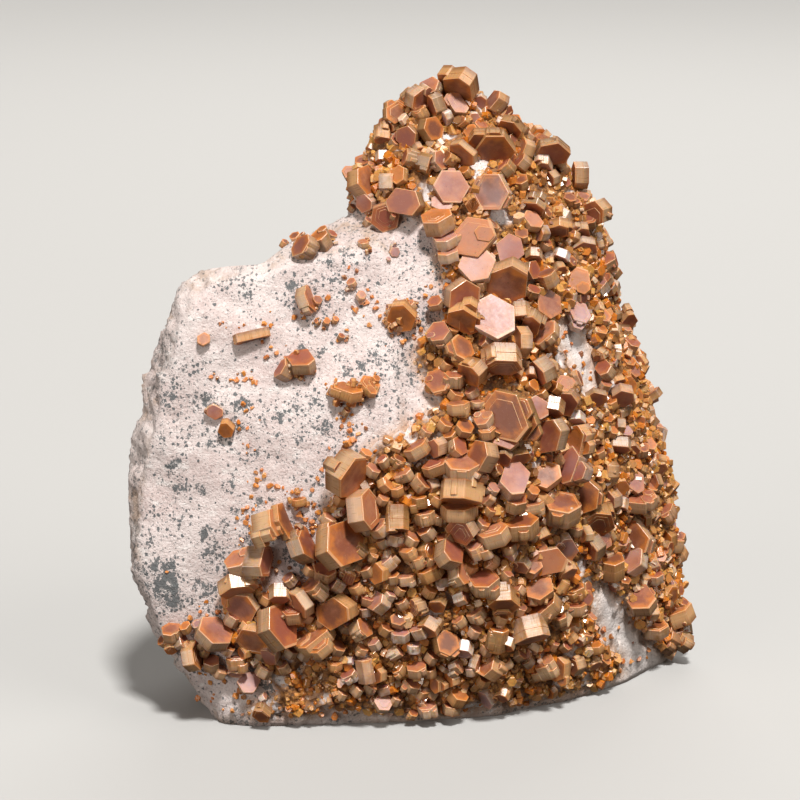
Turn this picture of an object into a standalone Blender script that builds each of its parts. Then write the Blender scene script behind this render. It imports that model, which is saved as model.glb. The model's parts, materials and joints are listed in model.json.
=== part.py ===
"""Vanadinite on matrix: hexagonal tablets of vanadinite grown over one side of a block of pale rock.

Metres, +Z up. The origin is on the flat underside of the rock, the front faces -Y and +X is to the right.
The rock is a union of hulls round chosen corners, made rough and reduced to broad facets. The crystals are
laid out on a sheet seen from the front: each one is a hexagonal prism set where its sight line meets the
rock. Those that grew together are joined with the crust they stand on into one solid.
"""

import math

import bmesh
import bpy
from mathutils import Matrix, Vector, noise
from mathutils.bvhtree import BVHTree

MM = 0.001

# The layout sheet: a plane through LOOK_AT, square to the line from EYE, with its middle at SHEET_MIDDLE.
LOOK_AT = Vector((-2.2, 0.0, 59.5)) * MM
EYE_DISTANCE = 560 * MM
EYE_RISE = math.radians(14)
SHEET_MIDDLE = 400
SHEET_UNIT = 0.2 * MM

# The rock.
VOXEL = 2.2 * MM
BROAD_ROUGHNESS = 1.1 * MM
BROAD_SCALE = 17 * MM
BROAD_OCTAVES = 3
FINE_ROUGHNESS = 0.45 * MM
FINE_SCALE = 5 * MM
FINE_OCTAVES = 2
# The fine roughness is a different part of the same noise, and weaker on the front.
FINE_SHIFT = Vector((7, 3, 5))
FRONT_SHARE = 0.6
NOISE_FALL = 1.0
NOISE_LACUNARITY = 2.0
MATRIX_FACES = 1250
# The rock without crystals on it, seen from behind, is a rougher break.
BACK_ROUGHNESS = 1.6 * MM

# The crystals.
GAP = 0.3 * MM
CRUST_HEIGHT = 1.5 * MM
# How high the far side's crystals stand on the rock: they are grown into the crust.
FAR_BED = -0.5 * MM
# How far the crust lifts the crystals of the left corner, where it thins out.
CORNER_BED = 0.5 * MM
SEAT_LIFT = 0.38
# The share of a crystal's half height that is the most its middle may stand above its bed.
FIRM_SEAT = 0.75
# A sight line that passes the rock is searched from this far before LOOK_AT to this far behind it.
SEARCH_BEFORE = 60
SEARCH_BEHIND = 70
# A prism is made with flat faces on its X, and a roll of 0 turns a corner there.
CORNER_TURN = math.radians(30)

# Corners of the rock's hulls, in millimetres. Those at the foot are moved down by FOOT_DEPTH and cut off.
FOOT_DEPTH = 3
SLAB = [
    (-36, -26, 0), (-38, -20, 0), (-22, -24, 0), (-2, -22.5, 0), (10, 36, 0), (-28, 32, 0), (-38, 8, 0),
    (-41, -25.5, 7), (-44, -18, 7), (-45.5, -24.5, 16), (-49.5, -15, 16), (-48, -24.5, 24),
    (-50.5, -24, 36), (-54.5, -14, 36), (-51.5, -23.5, 45), (-55.4, -13, 45), (-50.5, -23, 55),
    (-54.6, -13, 55), (-48, -22, 66), (-52, -13, 65), (-44.5, -21, 76), (-48.5, -13, 75),
    (-41, -19, 85), (-45, -14, 85), (-43, -12, 87.4), (-38, -17, 88.3), (-23, -17.5, 91),
    (-5, -17, 94.6), (-41.4, -8, 87.3), (-30.5, -8, 88.8), (-23.5, -6, 92.6), (-17.5, -5, 95.4),
    (-11, -4, 97.5), (-22, -28.5, 55), (-21, -29, 34), (-2, -28.5, 60), (0, -29.5, 36), (-3, -28, 16),
    (-30, -27.5, 18), (-43, 12, 20), (-28, 34, 20), (12, 38, 20), (-46, 6, 58), (-26, 22, 56),
    (4, 32, 56), (-40, 0, 83), (-12, 10, 88),
]
RIDGE = [
    (0, -24, 60), (18, -24.5, 60), (31, -12, 60), (41, 0, 60), (45.5, 12, 58), (38, 27, 58),
    (4, 34, 58), (-8, 16, 60), (-3, -19, 84), (10, -18.5, 84), (24, -12, 84), (35, -1, 83),
    (39.5, 9, 81), (33, 23, 82), (3, 29, 82), (-13, -3, 97), (-1, -12, 97), (11, -13, 97), (24, -7, 97),
    (33, 2, 96), (35.5, 10, 95), (24, 22, 96), (-9, 14, 96), (-9, 0, 105), (-1, -6, 108), (14, -7, 108),
    (25, 1, 108), (27.5, 8, 108), (-5, 3, 114), (16, 12, 113), (2, 2, 120), (8, 1, 122), (14, 4, 117.5),
    (7, 8, 120),
]
FLANK = [
    (0, -22.5, 0), (17.5, -18, 0), (31.5, -11, 0), (42.5, -2, 0), (54, 13, 0), (50, 31, 0), (10, 37, 0),
    (-10, 20, 0), (0, -28, 18), (17, -26, 18), (30, -17.5, 18), (41, -6, 18), (51, 7, 16), (56, 17, 14),
    (50, 33, 18), (10, 39, 18), (2, -29.5, 44), (17, -28.5, 46), (30, -17, 44), (42, -2, 42),
    (51, 12, 38), (46, 28, 42), (10, 38, 44), (-6, 20, 40), (2, -26, 66), (18, -25.5, 64),
    (30, -14, 66), (41, -1, 66), (45, 11, 67), (40, 26, 64), (8, 34, 64),
]

# Crystals as (across, down, width, thickness, lean, heading, roll): the first four in sheet units, the rest
# in degrees. Lean is the angle between the crystal's axis and its sight line, and heading is the way on the
# sheet that the axis leans, from +X towards up. Roll turns the hexagon: at 0 it has a corner, and at 30 a
# flat face, on the side that shows.
PEAK = [
    (461, 84, 40, 16, 58, 238, 25), (430, 88, 24, 12, 45, 130, 10), (417, 97, 26, 14, 45, 330, 0),
    (437, 105, 24, 12, 72, 200, 30), (497, 102, 24, 13, 62, 150, 10), (457, 103, 26, 8, 30, 60, 0),
    (395, 114, 25, 10, 25, 20, 10), (408, 137, 25, 8, 35, 200, 0), (430, 129, 26, 12, 40, 10, 0),
    (494, 148, 42, 12, 38, 270, 30), (510, 127, 28, 10, 50, 240, 0), (525, 150, 26, 12, 65, 160, 30),
    (552, 152, 36, 10, 45, 280, 30), (545, 161, 22, 16, 60, 265, 20), (506, 169, 22, 12, 75, 130, 30),
    (463, 154, 30, 8, 50, 230, 30), (363, 182, 34, 15, 50, 20, 0), (405, 202, 37, 14, 25, 170, 0),
    (385, 217, 29, 6, 20, 260, 0), (451, 187, 34, 10, 15, 60, 0), (492, 192, 39, 10, 22, 180, 0),
    (534, 204, 25, 12, 60, 250, 0), (581, 175, 26, 14, 80, 180, 30), (597, 212, 34, 14, 45, 200, 0),
    (588, 220, 24, 9, 50, 100, 30), (558, 228, 28, 10, 60, 270, 0), (584, 247, 27, 9, 50, 280, 0),
]
SHOULDER = [
    (437, 222, 34, 16, 62, 105, 0), (446, 240, 26, 10, 65, 100, 10), (448, 255, 22, 10, 68, 100, 0),
    (473, 238, 45, 12, 15, 120, 50), (510, 251, 36, 12, 30, 40, 0), (477, 267, 37, 12, 25, 100, 30),
    (508, 281, 46, 16, 35, 265, 0), (461, 297, 37, 12, 35, 330, 0), (493, 318, 46, 10, 22, 80, 10),
    (519, 311, 23, 15, 75, 275, 30), (548, 305, 32, 10, 35, 30, 0), (579, 314, 28, 10, 35, 50, 0),
    (578, 281, 27, 8, 15, 90, 10), (547, 279, 27, 14, 70, 110, 30), (463, 317, 34, 12, 45, 260, 0),
    (607, 262, 22, 12, 50, 100, 0), (600, 287, 22, 12, 50, 120, 0), (614, 340, 22, 12, 50, 200, 0),
    (628, 318, 22, 12, 50, 300, 0), (630, 345, 22, 12, 60, 60, 0), (622, 396, 24, 12, 45, 280, 0),
]
MIDDLE = [
    (440, 334, 24, 10, 40, 120, 0), (470, 322, 28, 10, 40, 270, 0), (461, 349, 27, 9, 45, 40, 0),
    (438, 382, 26, 9, 30, 130, 0), (455, 379, 22, 13, 60, 90, 30), (473, 371, 32, 14, 62, 225, 20),
    (503, 359, 41, 20, 62, 275, 15), (522, 341, 30, 12, 70, 180, 30), (544, 335, 31, 10, 50, 130, 30),
    (531, 322, 28, 12, 50, 250, 0), (543, 371, 29, 15, 65, 210, 0), (568, 402, 29, 10, 40, 240, 0),
    (596, 398, 23, 8, 40, 280, 0), (508, 414, 52, 12, 24, 205, 25), (519, 420, 46, 10, 26, 205, 25),
    (554, 407, 24, 14, 65, 260, 30), (551, 436, 38, 14, 40, 190, 0), (579, 442, 39, 16, 45, 190, 0),
    (571, 467, 38, 14, 40, 160, 30), (584, 495, 39, 12, 20, 200, 0), (484, 455, 33, 16, 50, 170, 0),
    (506, 439, 29, 8, 20, 100, 0), (514, 480, 40, 14, 35, 60, 10), (515, 503, 26, 12, 60, 80, 10),
    (547, 477, 29, 10, 25, 100, 0), (465, 468, 37, 14, 62, 90, 20), (461, 492, 42, 19, 80, 265, 50),
    (457, 513, 34, 13, 72, 90, 20), (462, 529, 32, 12, 50, 230, 0), (521, 527, 37, 16, 62, 95, 30),
    (494, 536, 31, 15, 62, 110, 20), (476, 549, 26, 13, 62, 115, 10), (418, 450, 24, 12, 75, 120, 30),
    (435, 468, 25, 10, 65, 110, 30), (561, 509, 40, 20, 55, 85, 20), (597, 520, 38, 16, 50, 285, 0),
    (611, 499, 25, 12, 50, 200, 0), (638, 501, 37, 13, 58, 90, 20), (610, 471, 24, 13, 70, 180, 30),
    (635, 483, 24, 8, 30, 30, 0), (619, 445, 24, 12, 60, 270, 20),
]
FOOT = [
    (634, 539, 40, 12, 25, 190, 0), (633, 560, 35, 14, 35, 150, 0), (613, 567, 26, 22, 55, 90, 10),
    (667, 538, 24, 10, 45, 200, 0), (676, 555, 25, 14, 60, 120, 30), (665, 514, 24, 12, 60, 120, 30),
    (653, 577, 23, 10, 60, 90, 20), (639, 598, 41, 13, 40, 100, 20), (676, 616, 36, 17, 70, 110, 30),
    (654, 630, 29, 12, 60, 90, 20), (669, 641, 27, 15, 55, 150, 0), (687, 643, 23, 15, 70, 150, 30),
    (545, 560, 42, 10, 20, 300, 10), (566, 547, 29, 12, 40, 300, 0), (590, 546, 31, 14, 55, 215, 30),
    (600, 541, 26, 9, 35, 30, 0), (566, 569, 22, 14, 65, 300, 30), (540, 590, 31, 10, 35, 100, 0),
    (547, 608, 33, 15, 55, 130, 30), (574, 609, 27, 10, 70, 95, 20), (575, 592, 22, 12, 60, 100, 0),
    (484, 583, 35, 13, 55, 95, 20), (503, 600, 34, 17, 62, 275, 25), (531, 629, 36, 22, 80, 285, 20),
    (448, 553, 36, 15, 60, 35, 30), (459, 575, 25, 13, 60, 20, 0), (430, 627, 22, 13, 62, 240, 30),
    (446, 644, 27, 11, 30, 30, 10), (498, 641, 20, 24, 65, 80, 30), (492, 668, 24, 15, 55, 150, 0),
    (545, 667, 28, 16, 60, 120, 0), (560, 668, 28, 11, 40, 200, 0), (431, 573, 24, 12, 70, 115, 30),
    (380, 604, 23, 13, 55, 150, 0), (365, 671, 20, 24, 78, 100, 30), (337, 611, 40, 16, 40, 210, 0),
    (340, 546, 50, 18, 45, 20, 0), (345, 475, 46, 20, 60, 330, 20), (362, 511, 40, 18, 62, 10, 20),
    (398, 518, 22, 24, 80, 270, 30),
]
LEFT_CORNER = [
    (258, 561, 36, 19, 65, 0, 0), (239, 563, 27, 14, 55, 120, 0), (236, 586, 34, 15, 68, 280, 20),
    (241, 606, 36, 9, 40, 230, 10), (279, 594, 22, 15, 65, 270, 30), (300, 603, 31, 11, 68, 215, 30),
    (293, 614, 26, 12, 60, 100, 20), (253, 640, 34, 11, 50, 240, 0), (277, 628, 45, 17, 50, 20, 0),
    (271, 654, 26, 12, 60, 240, 20), (316, 640, 40, 13, 64, 128, 30), (315, 589, 28, 14, 65, 140, 30),
    (323, 572, 24, 11, 45, 80, 20), (214, 635, 38, 14, 45, 60, 10),
]

# On the same crust where it turns away: seen along -X, and from behind.
FAR_SIDE = [
    (430, 95, 22, 12, 40, 330, 0), (440, 130, 24, 12, 50, 60, 0), (455, 178, 24, 12, 35, 200, 0),
    (470, 235, 22, 12, 50, 90, 0), (458, 290, 20, 10, 30, 20, 0), (470, 352, 20, 10, 60, 270, 30),
    (476, 452, 20, 11, 50, 300, 0), (465, 505, 20, 12, 35, 60, 0), (478, 560, 20, 12, 60, 100, 30),
    (462, 615, 20, 12, 45, 220, 0), (470, 655, 22, 14, 60, 90, 30),
]
BEHIND_PEAK = [
    (345, 112, 30, 12, 40, 90, 0), (372, 136, 26, 12, 50, 200, 0), (318, 128, 28, 12, 35, 20, 0),
    (292, 158, 26, 12, 50, 300, 0), (350, 150, 24, 10, 40, 60, 0),
]

# Crystals that stand by themselves on the bare rock, each group a piece of its own.
LONE_GROUPS = {
    "bar_crystal": [(252.5, 336, 35, 9, 80, 283, 30)],
    "joined_tablets": [(301.5, 362, 32, 12, 55, 100, 15), (285, 371, 20, 13, 68, 150, 30)],
    "upright_tablet": [(305.5, 299.5, 28, 11, 70, 20, 30)],
    "left_flat_crystal": [(203.6, 339.5, 14, 6, 15, 90, 0)],
    "pink_flat_crystal": [(214, 411, 18, 6, 15, 270, 0)],
    "orange_flat_crystal": [(226, 428, 18, 9, 35, 250, 0)],
    "wedge_crystals": [(347, 392, 30, 11, 65, 80, 10), (368, 386, 22, 8, 50, 60, 0)],
    "rimmed_crystals": [(402, 316, 32, 10, 35, 250, 0)],
    "ledge_crystals": [(305, 247, 27, 14, 60, 150, 30), (323, 240, 24, 14, 65, 120, 0)],
    "paired_prisms": [
        (270, 524, 46, 20, 68, 18, 0),
        (283, 521, 38, 7, 68, 18, 0),
        (302, 545, 36, 15, 62, 20, 30),
    ],
    "corner_crystals": [
        (172, 633, 22, 12, 50, 100, 0),
        (181, 641, 18, 10, 55, 30, 0),
        (193, 656, 31, 13, 65, 10, 30),
    ],
    "low_flat_crystal": [(248, 683, 25, 7, 15, 60, 0)],
}
# How far some of these groups have grown into the rock, so that less of them stands out.
SUNK = {
    "bar_crystal": 2.3 * MM,
    "joined_tablets": 1.3 * MM,
    "upright_tablet": 1.2 * MM,
    "wedge_crystals": 0.8 * MM,
    "ledge_crystals": 0.5 * MM,
    "paired_prisms": 1.2 * MM,
    "corner_crystals": 0.5 * MM,
}

# The crust that the joined crystals stand on: its outline on the sheet seen from the front, the line along
# which it ends on the far side, seen along -X, and the bare windows in it.
CRUST_OUTLINE = [
    (330, 150), (372, 70), (420, 40), (540, 50), (640, 140), (690, 300), (730, 450), (760, 655),
    (690, 660), (650, 668), (600, 686), (560, 695), (500, 705), (440, 713), (400, 714), (330, 707),
    (300, 714), (252, 715), (250, 706), (272, 694), (262, 670), (238, 652), (226, 625), (222, 596),
    (238, 566), (262, 580), (284, 606), (310, 604), (325, 572), (326, 530), (328, 500), (340, 470),
    (372, 446), (405, 428), (438, 405), (426, 385), (414, 360), (420, 340), (440, 322), (446, 290),
    (436, 262), (440, 232), (416, 216), (392, 222), (368, 212), (350, 196),
]
FAR_OUTLINE = [
    (150, 20), (470, 20), (480, 90), (492, 150), (472, 190), (496, 240), (482, 285), (498, 325),
    (478, 370), (488, 410), (502, 455), (480, 500), (500, 540), (506, 585), (484, 630), (496, 668),
    (486, 720), (500, 800), (150, 800),
]
COLUMN_FRONT = -80
COLUMN_BACK = 60
# The outlines also pass through the rock's left side, its back and its underside, which have no crust.
BOX_CUTTERS = [
    ("left_cutter", (-70, -18, -10), (-5, 60, 75)),
    ("floor_cutter", (-70, -60, -10), (90, 60, 0.8)),
]
SIDE_WINDOW = [
    (562, 318), (575, 322), (590, 345), (598, 385), (597, 398), (585, 396), (575, 380), (566, 360),
    (556, 340),
]
FOOT_WINDOW = [
    (592, 588), (606, 584), (616, 596), (626, 612), (645, 640), (672, 656), (690, 690), (600, 720),
    (600, 690), (622, 672), (620, 655), (604, 640), (594, 615),
]


def clear_scene():
    for item in list(bpy.data.objects):
        bpy.data.objects.remove(item, do_unlink=True)


def new_collection(name):
    collection = bpy.data.collections.new(name)
    bpy.context.scene.collection.children.link(collection)
    return collection


def new_material(name, colour, roughness):
    material = bpy.data.materials.new(name)
    material.use_nodes = True
    shader = material.node_tree.nodes["Principled BSDF"]
    shader.inputs["Base Color"].default_value = (*colour, 1)
    shader.inputs["Roughness"].default_value = roughness
    shader.inputs["Metallic"].default_value = 0
    return material


def new_object(name, mesh, collection, material=None):
    item = bpy.data.objects.new(name, mesh)
    collection.objects.link(item)
    if material:
        mesh.materials.clear()
        mesh.materials.append(material)
    return item


def make_cutter(item):
    item.hide_render = True
    item.display_type = "WIRE"
    return item


def as_mesh(item, name):
    """The object's shape with its modifiers, as a mesh of its own."""
    graph = bpy.context.evaluated_depsgraph_get()
    mesh = bpy.data.meshes.new_from_object(item.evaluated_get(graph), depsgraph=graph).copy()
    mesh.name = name
    return mesh


def add_hull(bm, corners):
    """A convex hull round the corners. Those at the foot go below the underside, which is cut later."""
    points = [Vector((x, y, z if z else -FOOT_DEPTH)) * MM for x, y, z in corners]
    verts = [bm.verts.new(point) for point in points]
    result = bmesh.ops.convex_hull(bm, input=verts)
    inside = [part for part in result["geom_interior"] if isinstance(part, bmesh.types.BMVert)]
    bmesh.ops.delete(bm, geom=inside, context="VERTS")


def roughness_at(point, normal):
    """How far the broken surface stands in or out here."""
    broad = noise.fractal(point / BROAD_SCALE, NOISE_FALL, NOISE_LACUNARITY, BROAD_OCTAVES)
    fine = noise.fractal(point / FINE_SCALE + FINE_SHIFT, NOISE_FALL, NOISE_LACUNARITY, FINE_OCTAVES)
    away = min(max(normal.y, 0), 1)
    broad_height = BROAD_ROUGHNESS + (BACK_ROUGHNESS - BROAD_ROUGHNESS) * away
    return broad * broad_height + fine * FINE_ROUGHNESS * (FRONT_SHARE + away)


def roughen(mesh):
    bm = bmesh.new()
    bm.from_mesh(mesh)
    bm.normal_update()
    moves = [(vert, vert.normal * roughness_at(vert.co, vert.normal)) for vert in bm.verts]
    for vert, move in moves:
        vert.co += move
    bm.to_mesh(mesh)
    bm.free()


def cut_flat(mesh, height=0.0):
    """Removes what is below the height and closes the cut with one flat face."""
    bm = bmesh.new()
    bm.from_mesh(mesh)
    geometry = bm.verts[:] + bm.edges[:] + bm.faces[:]
    cut = bmesh.ops.bisect_plane(
        bm, geom=geometry, plane_co=(0, 0, height), plane_no=(0, 0, 1), clear_inner=True
    )
    rim = [part for part in cut["geom_cut"] if isinstance(part, bmesh.types.BMEdge)]
    bmesh.ops.contextual_create(bm, geom=rim)
    bmesh.ops.recalc_face_normals(bm, faces=bm.faces)
    bm.to_mesh(mesh)
    bm.free()


def build_matrix(collection, material):
    bm = bmesh.new()
    for corners in (SLAB, RIDGE, FLANK):
        add_hull(bm, corners)
    mesh = bpy.data.meshes.new("matrix_hulls")
    bm.to_mesh(mesh)
    bm.free()
    item = new_object("matrix", mesh, collection)
    remesh = item.modifiers.new("union", "REMESH")
    remesh.mode = "VOXEL"
    remesh.voxel_size = VOXEL
    item.data = as_mesh(item, "matrix_rough")
    item.modifiers.clear()
    roughen(item.data)
    reduce = item.modifiers.new("facets", "DECIMATE")
    reduce.ratio = MATRIX_FACES / (2 * len(item.data.polygons))
    item.data = as_mesh(item, "matrix")
    item.modifiers.clear()
    cut_flat(item.data)
    item.data.materials.clear()
    item.data.materials.append(material)
    return item


def swollen(mesh, name, distance):
    """A copy of a closed mesh with every point moved out along its normal."""
    copy = mesh.copy()
    copy.name = name
    bm = bmesh.new()
    bm.from_mesh(copy)
    bmesh.ops.triangulate(bm, faces=bm.faces)
    bm.normal_update()
    moves = [(vert, vert.normal * distance * vert.calc_shell_factor()) for vert in bm.verts]
    for vert, move in moves:
        vert.co += move
    bm.to_mesh(copy)
    bm.free()
    return copy


class Sheet:
    """The layout sheet as seen from an eye at this azimuth: 0 looks along +Y and 90 along -X."""

    def __init__(self, azimuth=0.0):
        turn = Matrix.Rotation(azimuth, 3, "Z")
        self.forward = turn @ Vector((0, math.cos(EYE_RISE), -math.sin(EYE_RISE)))
        self.right = turn @ Vector((1, 0, 0))
        self.up = self.right.cross(self.forward)
        self.eye = LOOK_AT - self.forward * EYE_DISTANCE

    def direction(self, across, down):
        right = (across - SHEET_MIDDLE) * SHEET_UNIT
        up = (SHEET_MIDDLE - down) * SHEET_UNIT
        return (self.forward * EYE_DISTANCE + self.right * right + self.up * up).normalized()

    def at_depth(self, across, down, depth):
        """The point of the sight line that lies this far behind the origin, measured level."""
        direction = self.direction(across, down)
        level = Vector((self.forward.x, self.forward.y, 0)).normalized()
        return self.eye + direction * ((depth - self.eye.dot(level)) / direction.dot(level))

    def seat(self, tree, across, down):
        """Where the sight line meets the rock, or where it passes nearest to it."""
        direction = self.direction(across, down)
        hit = tree.ray_cast(self.eye, direction)[0]
        if hit:
            return hit
        depths = [EYE_DISTANCE + step * MM for step in range(-SEARCH_BEFORE, SEARCH_BEHIND)]
        steps = [self.eye + direction * depth for depth in depths]
        return min(steps, key=lambda point: tree.find_nearest(point)[3])

    def axes(self, across, down, lean, heading, roll):
        """A crystal's rotation: its Z is the axis and its X lies on the side that shows its prism faces."""
        lean = math.radians(lean)
        heading = math.radians(heading)
        towards = -self.direction(across, down)
        tilt = self.right * math.cos(heading) + self.up * math.sin(heading)
        tilt = (tilt - towards * tilt.dot(towards)).normalized()
        axis = towards * math.cos(lean) + tilt * math.sin(lean)
        side = towards * math.sin(lean) - tilt * math.cos(lean)
        turn = Matrix((side, axis.cross(side), axis)).transposed()
        return turn @ Matrix.Rotation(math.radians(roll) + CORNER_TURN, 3, "Z")


def place_crystal(sheet, tree, row, bed):
    """The prism's matrix: on its sight line, lifted off the rock, but never so far that it stands free."""
    across, down, width, thickness, lean, heading, roll = row
    width *= SHEET_UNIT
    thickness *= SHEET_UNIT
    slope = math.radians(lean)
    turn = sheet.axes(across, down, lean, heading, roll)
    lift = width * SEAT_LIFT * math.sin(slope) + thickness * SEAT_LIFT * math.cos(slope) + bed
    centre = sheet.seat(tree, across, down) - sheet.direction(across, down) * lift
    nearest, normal, face, distance = tree.find_nearest(centre)
    upright = abs(normal.dot(turn.col[2]))
    half_height = (thickness * upright + width * math.sqrt(1 - min(upright * upright, 1))) / 2
    reach = (bed + half_height) * FIRM_SEAT
    if distance > reach:
        centre += (nearest - centre) * (1 - reach / distance)
    return Matrix.Translation(centre) @ turn.to_4x4()


def add_crystal(bm, sheet, tree, row, bed):
    """One hexagonal prism."""
    radius = row[2] * SHEET_UNIT / 2
    bmesh.ops.create_cone(
        bm, cap_ends=True, segments=6, radius1=radius, radius2=radius, depth=row[3] * SHEET_UNIT,
        matrix=place_crystal(sheet, tree, row, bed)
    )


def crystal_mesh(name, tree, layout):
    """The prisms of a layout, which is a list of (sheet, rows, bed)."""
    bm = bmesh.new()
    for sheet, rows, bed in layout:
        for row in rows:
            add_crystal(bm, sheet, tree, row, bed)
    mesh = bpy.data.meshes.new(name)
    bm.to_mesh(mesh)
    bm.free()
    return mesh


def sheet_column(name, sheet, outline):
    """The space behind an outline on the sheet, through the whole rock."""
    bm = bmesh.new()
    starts = [bm.verts.new(sheet.at_depth(*corner, COLUMN_FRONT * MM)) for corner in outline]
    ends = [bm.verts.new(sheet.at_depth(*corner, COLUMN_BACK * MM)) for corner in outline]
    bm.faces.new(starts)
    bm.faces.new(ends)
    for start, end, next_start, next_end in zip(starts, ends, starts[1:] + starts[:1], ends[1:] + ends[:1]):
        bm.faces.new((start, end, next_end, next_start))
    bmesh.ops.triangulate(bm, faces=bm.faces)
    bmesh.ops.recalc_face_normals(bm, faces=bm.faces)
    mesh = bpy.data.meshes.new(name)
    bm.to_mesh(mesh)
    bm.free()
    return mesh


def build_box_cutter(name, low, high, collection):
    """A box between two corners given in millimetres."""
    low = Vector(low) * MM
    high = Vector(high) * MM
    bpy.ops.mesh.primitive_cube_add(size=1, location=(low + high) / 2)
    item = bpy.context.object
    item.name = name
    item.scale = high - low
    bpy.ops.object.transform_apply(location=False, rotation=False, scale=True)
    item.users_collection[0].objects.unlink(item)
    collection.objects.link(item)
    return make_cutter(item)


def cut_by(item, other, operation):
    modifier = item.modifiers.new(operation.lower(), "BOOLEAN")
    modifier.object = other
    modifier.operation = operation
    modifier.solver = "EXACT"
    return modifier


def main():
    clear_scene()
    parts = new_collection("vanadinite_on_matrix")
    cutters = new_collection("cutters")
    rock = new_material("pale_rock", (0.75, 0.62, 0.55), 0.85)
    crystal = new_material("vanadinite", (0.45, 0.16, 0.07), 0.35)

    matrix = build_matrix(parts, rock)
    tree = BVHTree.FromObject(matrix, bpy.context.evaluated_depsgraph_get())
    sheet = Sheet()
    side_sheet = Sheet(math.radians(90))

    bed = make_cutter(new_object("matrix_clearance", swollen(matrix.data, "clearance", GAP), cutters))
    crust = new_object("joined_crystals", swollen(matrix.data, "crust", CRUST_HEIGHT), parts, crystal)
    cuts = [
        ("crust_outline", sheet, CRUST_OUTLINE, "INTERSECT"),
        ("far_outline", side_sheet, FAR_OUTLINE, "INTERSECT"),
        ("side_window", sheet, SIDE_WINDOW, "DIFFERENCE"),
        ("foot_window", sheet, FOOT_WINDOW, "DIFFERENCE"),
    ]
    for name, view, outline, operation in cuts:
        column = new_object(name, sheet_column(name, view, outline), cutters)
        cut_by(crust, make_cutter(column), operation)
    for name, low, high in BOX_CUTTERS:
        cut_by(crust, build_box_cutter(name, low, high, cutters), "DIFFERENCE")
    layout = [
        (sheet, PEAK + SHOULDER + MIDDLE + FOOT, CRUST_HEIGHT),
        (sheet, LEFT_CORNER, CORNER_BED),
        (side_sheet, FAR_SIDE, FAR_BED),
        (Sheet(math.radians(180)), BEHIND_PEAK, CRUST_HEIGHT),
    ]
    prisms = crystal_mesh("prisms", tree, layout)
    cut_by(crust, make_cutter(new_object("prisms", prisms, cutters)), "UNION").use_self = True
    cut_by(crust, bed, "DIFFERENCE")

    for name, rows in LONE_GROUPS.items():
        mesh = crystal_mesh(name, tree, [(sheet, rows, -SUNK.get(name, 0))])
        lone = new_object(name, mesh, parts, crystal)
        cut_by(lone, bed, "DIFFERENCE").use_self = True


main()
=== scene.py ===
"""Vanadinite on matrix, the looks: a pale speckled rock under a field of brown hexagonal crystals.

The rock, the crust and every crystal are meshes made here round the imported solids. Crystals are laid out on
the same sheet as the solids are, so each stands where its solid stands, and smaller ones fill the field.
"""

import json
import math
import random

import bmesh
import bpy
import numpy as np
from mathutils import Matrix, Vector, noise
from mathutils.bvhtree import BVHTree

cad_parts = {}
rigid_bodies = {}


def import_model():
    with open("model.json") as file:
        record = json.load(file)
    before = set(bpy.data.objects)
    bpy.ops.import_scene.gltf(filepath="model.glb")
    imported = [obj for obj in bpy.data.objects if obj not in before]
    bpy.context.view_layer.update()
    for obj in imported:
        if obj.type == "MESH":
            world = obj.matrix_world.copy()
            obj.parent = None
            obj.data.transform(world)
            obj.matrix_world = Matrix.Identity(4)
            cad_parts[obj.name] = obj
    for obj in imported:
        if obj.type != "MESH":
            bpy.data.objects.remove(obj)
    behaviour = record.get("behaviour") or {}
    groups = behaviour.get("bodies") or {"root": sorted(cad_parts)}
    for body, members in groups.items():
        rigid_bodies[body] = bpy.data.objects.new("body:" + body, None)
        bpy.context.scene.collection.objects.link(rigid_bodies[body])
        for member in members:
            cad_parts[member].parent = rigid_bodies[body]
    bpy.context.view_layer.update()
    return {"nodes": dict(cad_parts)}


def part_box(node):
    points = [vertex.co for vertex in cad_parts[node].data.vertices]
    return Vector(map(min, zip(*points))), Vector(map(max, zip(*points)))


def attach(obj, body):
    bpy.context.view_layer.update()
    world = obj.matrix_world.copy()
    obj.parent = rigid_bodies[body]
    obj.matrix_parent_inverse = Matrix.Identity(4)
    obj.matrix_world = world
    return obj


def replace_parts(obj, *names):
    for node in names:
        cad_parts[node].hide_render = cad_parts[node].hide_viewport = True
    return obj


for item in list(bpy.data.objects):
    bpy.data.objects.remove(item, do_unlink=True)
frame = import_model()

MM = 0.001
SEED = 2407

# The layout sheet, as the solids have it: a plane through LOOK_AT, square to the line from the eye.
LOOK_AT = Vector((-2.2, 0.0, 59.5)) * MM
EYE_DISTANCE = 560 * MM
EYE_RISE = math.radians(14)
SHEET_MIDDLE = 400
SHEET_UNIT = 0.2 * MM
SENSOR = 36
# How far above the rock the crystals' bed is: on the crust, at the left corner and on the far side.
CRUST_HEIGHT = 1.5 * MM
CORNER_BED = 0.5 * MM
FAR_BED = -0.5 * MM
# A crystal's middle is lifted off the rock by the first share of its size, but to no more than the second
# share of half its own height.
SEAT_LIFT = 0.38
FIRM_SEAT = 0.75
# Beside the rock, how far before and behind the sheet its nearest place is looked for, in millimetres.
SEARCH_BEFORE = 60
SEARCH_BEHIND = 70
CORNER_TURN = math.radians(30)


def table(text):
    """Rows of numbers and words from text, where a semicolon or the end of a line closes a row."""
    rows = [entry.split() for entry in text.replace("\n", ";").split(";")]
    return [tuple(word if word.isalpha() else float(word) for word in row) for row in rows if row]


USUAL_ROW = (0, 0, 0, 9, 60, 60, 0)


def crystals(text):
    """Rows that are crystals. Those cut short end with the usual thickness, lean, heading and roll."""
    return [(*row, *USUAL_ROW[len(row):]) for row in table(text)]


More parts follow.
